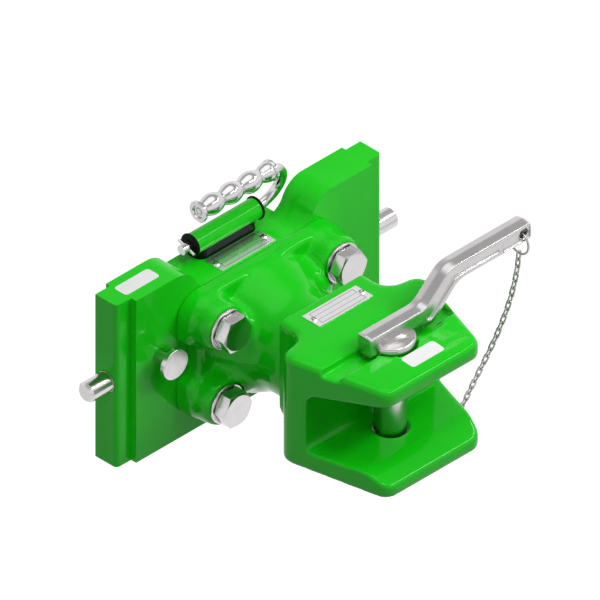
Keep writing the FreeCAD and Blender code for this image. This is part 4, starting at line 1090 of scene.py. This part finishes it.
@dataclass
class LiftHandle:
    """Lift plate, block and fold handle.

    Args:
        body: The lift's CAD body.
        folding: The handle's CAD body.
        beads: Middle of each bead along X, in mm.
        bead_half: Half a bead's length, in mm.
        neck: Radius between beads, in mm.
        bead: Radius of a bead, in mm.
        last_bead: How much lower the bead at the right flange is, in mm.
        fullness: Power of the beads' wave: the lower, the fuller.
        hub: Left end's face: mm from the end, and radius in mm.
        left_flange: Left flange: mm from the end, and mm to its rim.
        right_flange: Right flange, in the same way.
        flange: Length of a flange with its fillet, in mm.
    """

    body: str = "lift"
    folding: str = "handle"
    beads: tuple[float, ...] = (-26.4, -4.4, 17.6)
    bead_half: float = 11.0
    neck: float = 6.1
    bead: float = 9.5
    last_bead: float = 0.6
    fullness: float = 0.56
    hub: tuple[Point, ...] = ((1.2, 0.0), (1.2, 1.6), (0.4, 2.2), (0.4, 3.2), (1.6, 3.8),
                              (1.6, 5.2), (0.0, 6.0))
    left_flange: tuple[Point, ...] = ((0.0, -0.7), (0.6, 0.0), (2.4, 0.0), (3.4, -1.2))
    right_flange: tuple[Point, ...] = ((3.6, -1.4), (3.0, -0.4), (2.4, -0.2), (0.6, -0.2),
                                       (0.0, -0.9))
    flange: float = 4.6

    def outline(self, low: float, high: float, rim: float) -> list[Point]:
        """Outline of the beaded grip, from its left end to its right.

        Args:
            low: Left end along X.
            high: Right end along X.
            rim: Radius of its two flanges.

        Returns:
            Places along X and radii, in metres.
        """
        points = [(low + inset * MM, radius * MM) for inset, radius in self.hub]
        points += [(low + inset * MM, rim + rise * MM) for inset, rise in self.left_flange]
        points.append((low + self.flange * MM, self.neck * MM + 0.0008))
        for middle in self.beads:
            for step in range(-8, 9):
                part = step / 8.0
                wave = (0.5 + 0.5 * math.cos(math.pi * part)) ** self.fullness
                points.append(((middle + part * self.bead_half) * MM,
                               (self.neck + (self.bead - self.neck) * wave) * MM))
        start = (self.beads[-1] + self.bead_half) * MM
        rise = self.bead - self.last_bead - self.neck
        for step in range(1, 9):
            part = step / 8.0
            wave = (0.5 - 0.5 * math.cos(math.pi * part)) ** self.fullness
            points.append((start + part * (high - self.flange * MM - start),
                           (self.neck + rise * wave) * MM))
        points += [(high - inset * MM, rim + rise * MM) for inset, rise in self.right_flange]
        return points + [(high, 0.0)]

    def grip(self) -> None:
        """Turn the beaded grip and put it in the CAD grip's place."""
        low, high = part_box("handle_grip")
        middle = (low + high) * 0.5
        line = [(x, middle.y, middle.z + radius)
                for x, radius in self.outline(low.x, high.x, (high.z - low.z) / 2)]
        shape = Mesher.turned(line, middle, (1.0, 0.0, 0.0), 64, 1e-6)
        made = Mesher.piece("beaded_grip", shape, self.folding, "polished_steel", POLISHED, 40.0)
        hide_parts("handle_grip")

    def build(self) -> None:
        """Finish the lift and the handle."""
        Mesher.dress("lift_plate", PLAIN)
        Mesher.refined("lift_block", self.body, "black_parts", BLACK, 0.0008, segments=3)
        Mesher.dress("handle_tube", ENAMEL)
        Mesher.refined("tube_end_rings", self.body, "black_parts", BLACK, 0.0006, segments=3)
        Mesher.dress("handle_rod", POLISHED)
        Mesher.dress("handle_cross_pin", POLISHED)
        self.grip()


@dataclass
class Jaw:
    """Swivelling jaw with its nut, washer and nameplate.

    Args:
        body: The CAD body.
        label_centre: Middle of the blank label on the sloping top.
        label_size: Size of that label.
        grid: Size of the sculpting grid.
        rounds: Smoothing passes.
        pin_ahead: How far the coupling pin's axis is in front of the origin.
        collar: Radius kept round that axis.
        neck_end: Y behind which the machined neck begins.
    """

    body: str = "jaw_assembly"
    label_centre: Point = (0.006, -0.2105)
    label_size: Point = (0.038, 0.0155)
    grid: float = 0.0014
    rounds: int = 7
    pin_ahead: float = 0.1783
    collar: float = 0.0262
    neck_end: float = -0.104

    def kept(self, place: Vector) -> bool:
        """Say whether a point stays where the CAD has it.

        Args:
            place: The point.

        Returns:
            True where the casting is machined or hidden.
        """
        if place.y > self.neck_end:
            return True
        return math.hypot(place.x, place.y + self.pin_ahead) < self.collar

    def build(self) -> None:
        """Dress the jaw and its small parts."""
        Mesher.sculpted(Mesher.copy("jaw"), "jaw", "jaw_casting", self.body, "green_paint",
                        CAST_ENAMEL, self.grid, self.rounds, self.kept)
        Mesher.dress("swivel_nut", PLAIN)
        Mesher.dress("thrust_washer", BRONZE)
        Mesher.dress("split_pin", PLAIN)
        Mesher.film("jaw_label", self.label_centre, self.label_size, "jaw", self.body,
                    "aluminium_plate", LABEL)
        Plate("jaw_nameplate", self.body).build()


@dataclass
class CouplingPin:
    """Coupling pin, its offset lever and the lever's ring.

    Args:
        body: The CAD body.
        roof: How far the lever's top rises to its ridge.
        roof_from: Height above which its upper faces have that ridge.
        shank: Radius of the pin, in mm.
        foot: Underside of the collar, in mm.
        rim: Width of the collar's rim, in mm.
        dome: Height of the collar's dome, in mm.
        tip: Turned tip: mm inside the shank's radius, and mm from the end.
        edge: Collar's upper edge: mm inside its radius, and mm below its top.
        groove: Groove round the dome: mm inside the rim, and mm below the top.
        land: Ends along X and Z of the land that narrows the grooves, in mm.
        grid: Size of the lever's sculpting grid.
        rounds: Smoothing passes of the lever.
    """

    body: str = "pin_assembly"
    roof: float = 0.0014
    roof_from: float = 0.062
    shank: float = 14.0
    foot: float = 50.5
    rim: float = 3.0
    dome: float = 3.4
    tip: tuple[Point, ...] = ((4.0, 0.0), (0.6, 4.2), (0.0, 6.0))
    edge: tuple[Point, ...] = ((0.0, 2.2), (0.4, 1.2), (1.2, 0.4), (2.2, 0.0))
    groove: tuple[Point, ...] = ((-0.6, 0.0), (0.0, 0.5), (0.8, 0.3))
    land: tuple[Point, Point] = ((59.5, 122.0), (90.4, 95.6))
    grid: float = 0.0005
    rounds: int = 10

    def pin(self) -> None:
        """Turn the pin in one with its collar, rim and dome."""
        low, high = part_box("coupling_pin")
        centre = (low + high) * 0.5
        shank, outer = self.shank * MM, (high.x - low.x) / 2
        rim = outer - self.rim * MM
        foot, top = self.foot * MM, high.z - self.dome * MM
        points = [(0.0, low.z)]
        points += [(shank - inset * MM, low.z + up * MM) for inset, up in self.tip]
        points += [(shank, foot), (outer - 0.0008, foot), (outer, foot + 0.0008)]
        points += [(outer - inset * MM, top - down * MM) for inset, down in self.edge]
        points += [(rim - inset * MM, top - down * MM) for inset, down in self.groove]
        start, level = points[-1]
        for step in range(1, 13):
            radius = start * (1.0 - step / 12.0)
            points.append((radius, level + self.dome * MM * (1.0 - (radius / rim) ** 2)))
        line = [(centre.x + radius, centre.y, level) for radius, level in points]
        shape = Mesher.turned(line, (centre.x, centre.y, 0.0), (0.0, 0.0, 1.0), 96)
        made = Mesher.piece("domed_pin", shape, self.body, "turned_steel", TURNED_UP, 32.0)
        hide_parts("coupling_pin")

    def lever(self) -> None:
        """Give the lever its low roof and rounded edges."""
        low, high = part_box("pin_lever")
        middle = (low.y + high.y) / 2
        shape = Mesher.cleaned("pin_lever")
        bmesh.ops.bisect_plane(shape, geom=shape.verts[:] + shape.edges[:] + shape.faces[:],
                               dist=SAME, plane_co=(0.0, middle, 0.0), plane_no=(0.0, 1.0, 0.0))
        shape.normal_update()
        for vert in shape.verts:
            ridge = abs(vert.co.y - middle) < 1e-5 and vert.normal.z > 0.3
            if ridge and vert.co.z > self.roof_from:
                vert.co += vert.normal * self.roof
        (left, right), (foot, top) = self.land
        land = bmesh.ops.create_cube(shape, size=1.0)["verts"]
        bmesh.ops.scale(shape, vec=((right - left) * MM, high.y - low.y, (top - foot) * MM),
                        verts=land)
        bmesh.ops.translate(shape, vec=((left + right) / 2 * MM, middle, (foot + top) / 2 * MM),
                            verts=land)
        Mesher.sculpted(shape, "pin_lever", "lever_roofed", self.body, "cast_lever", FORGED,
                        self.grid, self.rounds, lambda place: False)

    def build(self) -> None:
        """Finish the pin, the lever and the ring."""
        self.pin()
        self.lever()
        Mesher.dress("chain_ring", CHAIN_ZINC)


@dataclass
class SafetyChain:
    """Safety chain between the jaw and the lever's ring.

    Args:
        lower: The body that the chain is first attached to, before it is freed.
        upper: Not used.
        edge: Width of the rounding along each link.
    """

    lower: str = "jaw_assembly"
    upper: str = "pin_assembly"
    edge: float = 0.00045

    def build(self) -> None:
        """Round the links and leave the chain on no body, fixed where it hangs."""
        Mesher.dress("chain_anchor", CHAIN_ZINC)
        shape = Mesher.cleaned("chain")
        Mesher.soften(shape, self.edge, 40.0)
        made = Mesher.piece("safety_chain", shape, self.lower, "zinc_chain", CHAIN_ZINC, 60.0)
        made.parent = None
        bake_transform(made)
        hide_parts("chain")


def main() -> None:
    """Build the studio and every sub-assembly."""
    logging.basicConfig(level=logging.INFO, format="%(name)s %(message)s")
    Studio().build()
    for part in (SlideFrame(), BearingHousing(), LiftHandle(), Jaw(), CouplingPin(),
                 SafetyChain()):
        log.info("building %s", type(part).__name__)
        part.build()


if __name__ == "__main__":
    main()
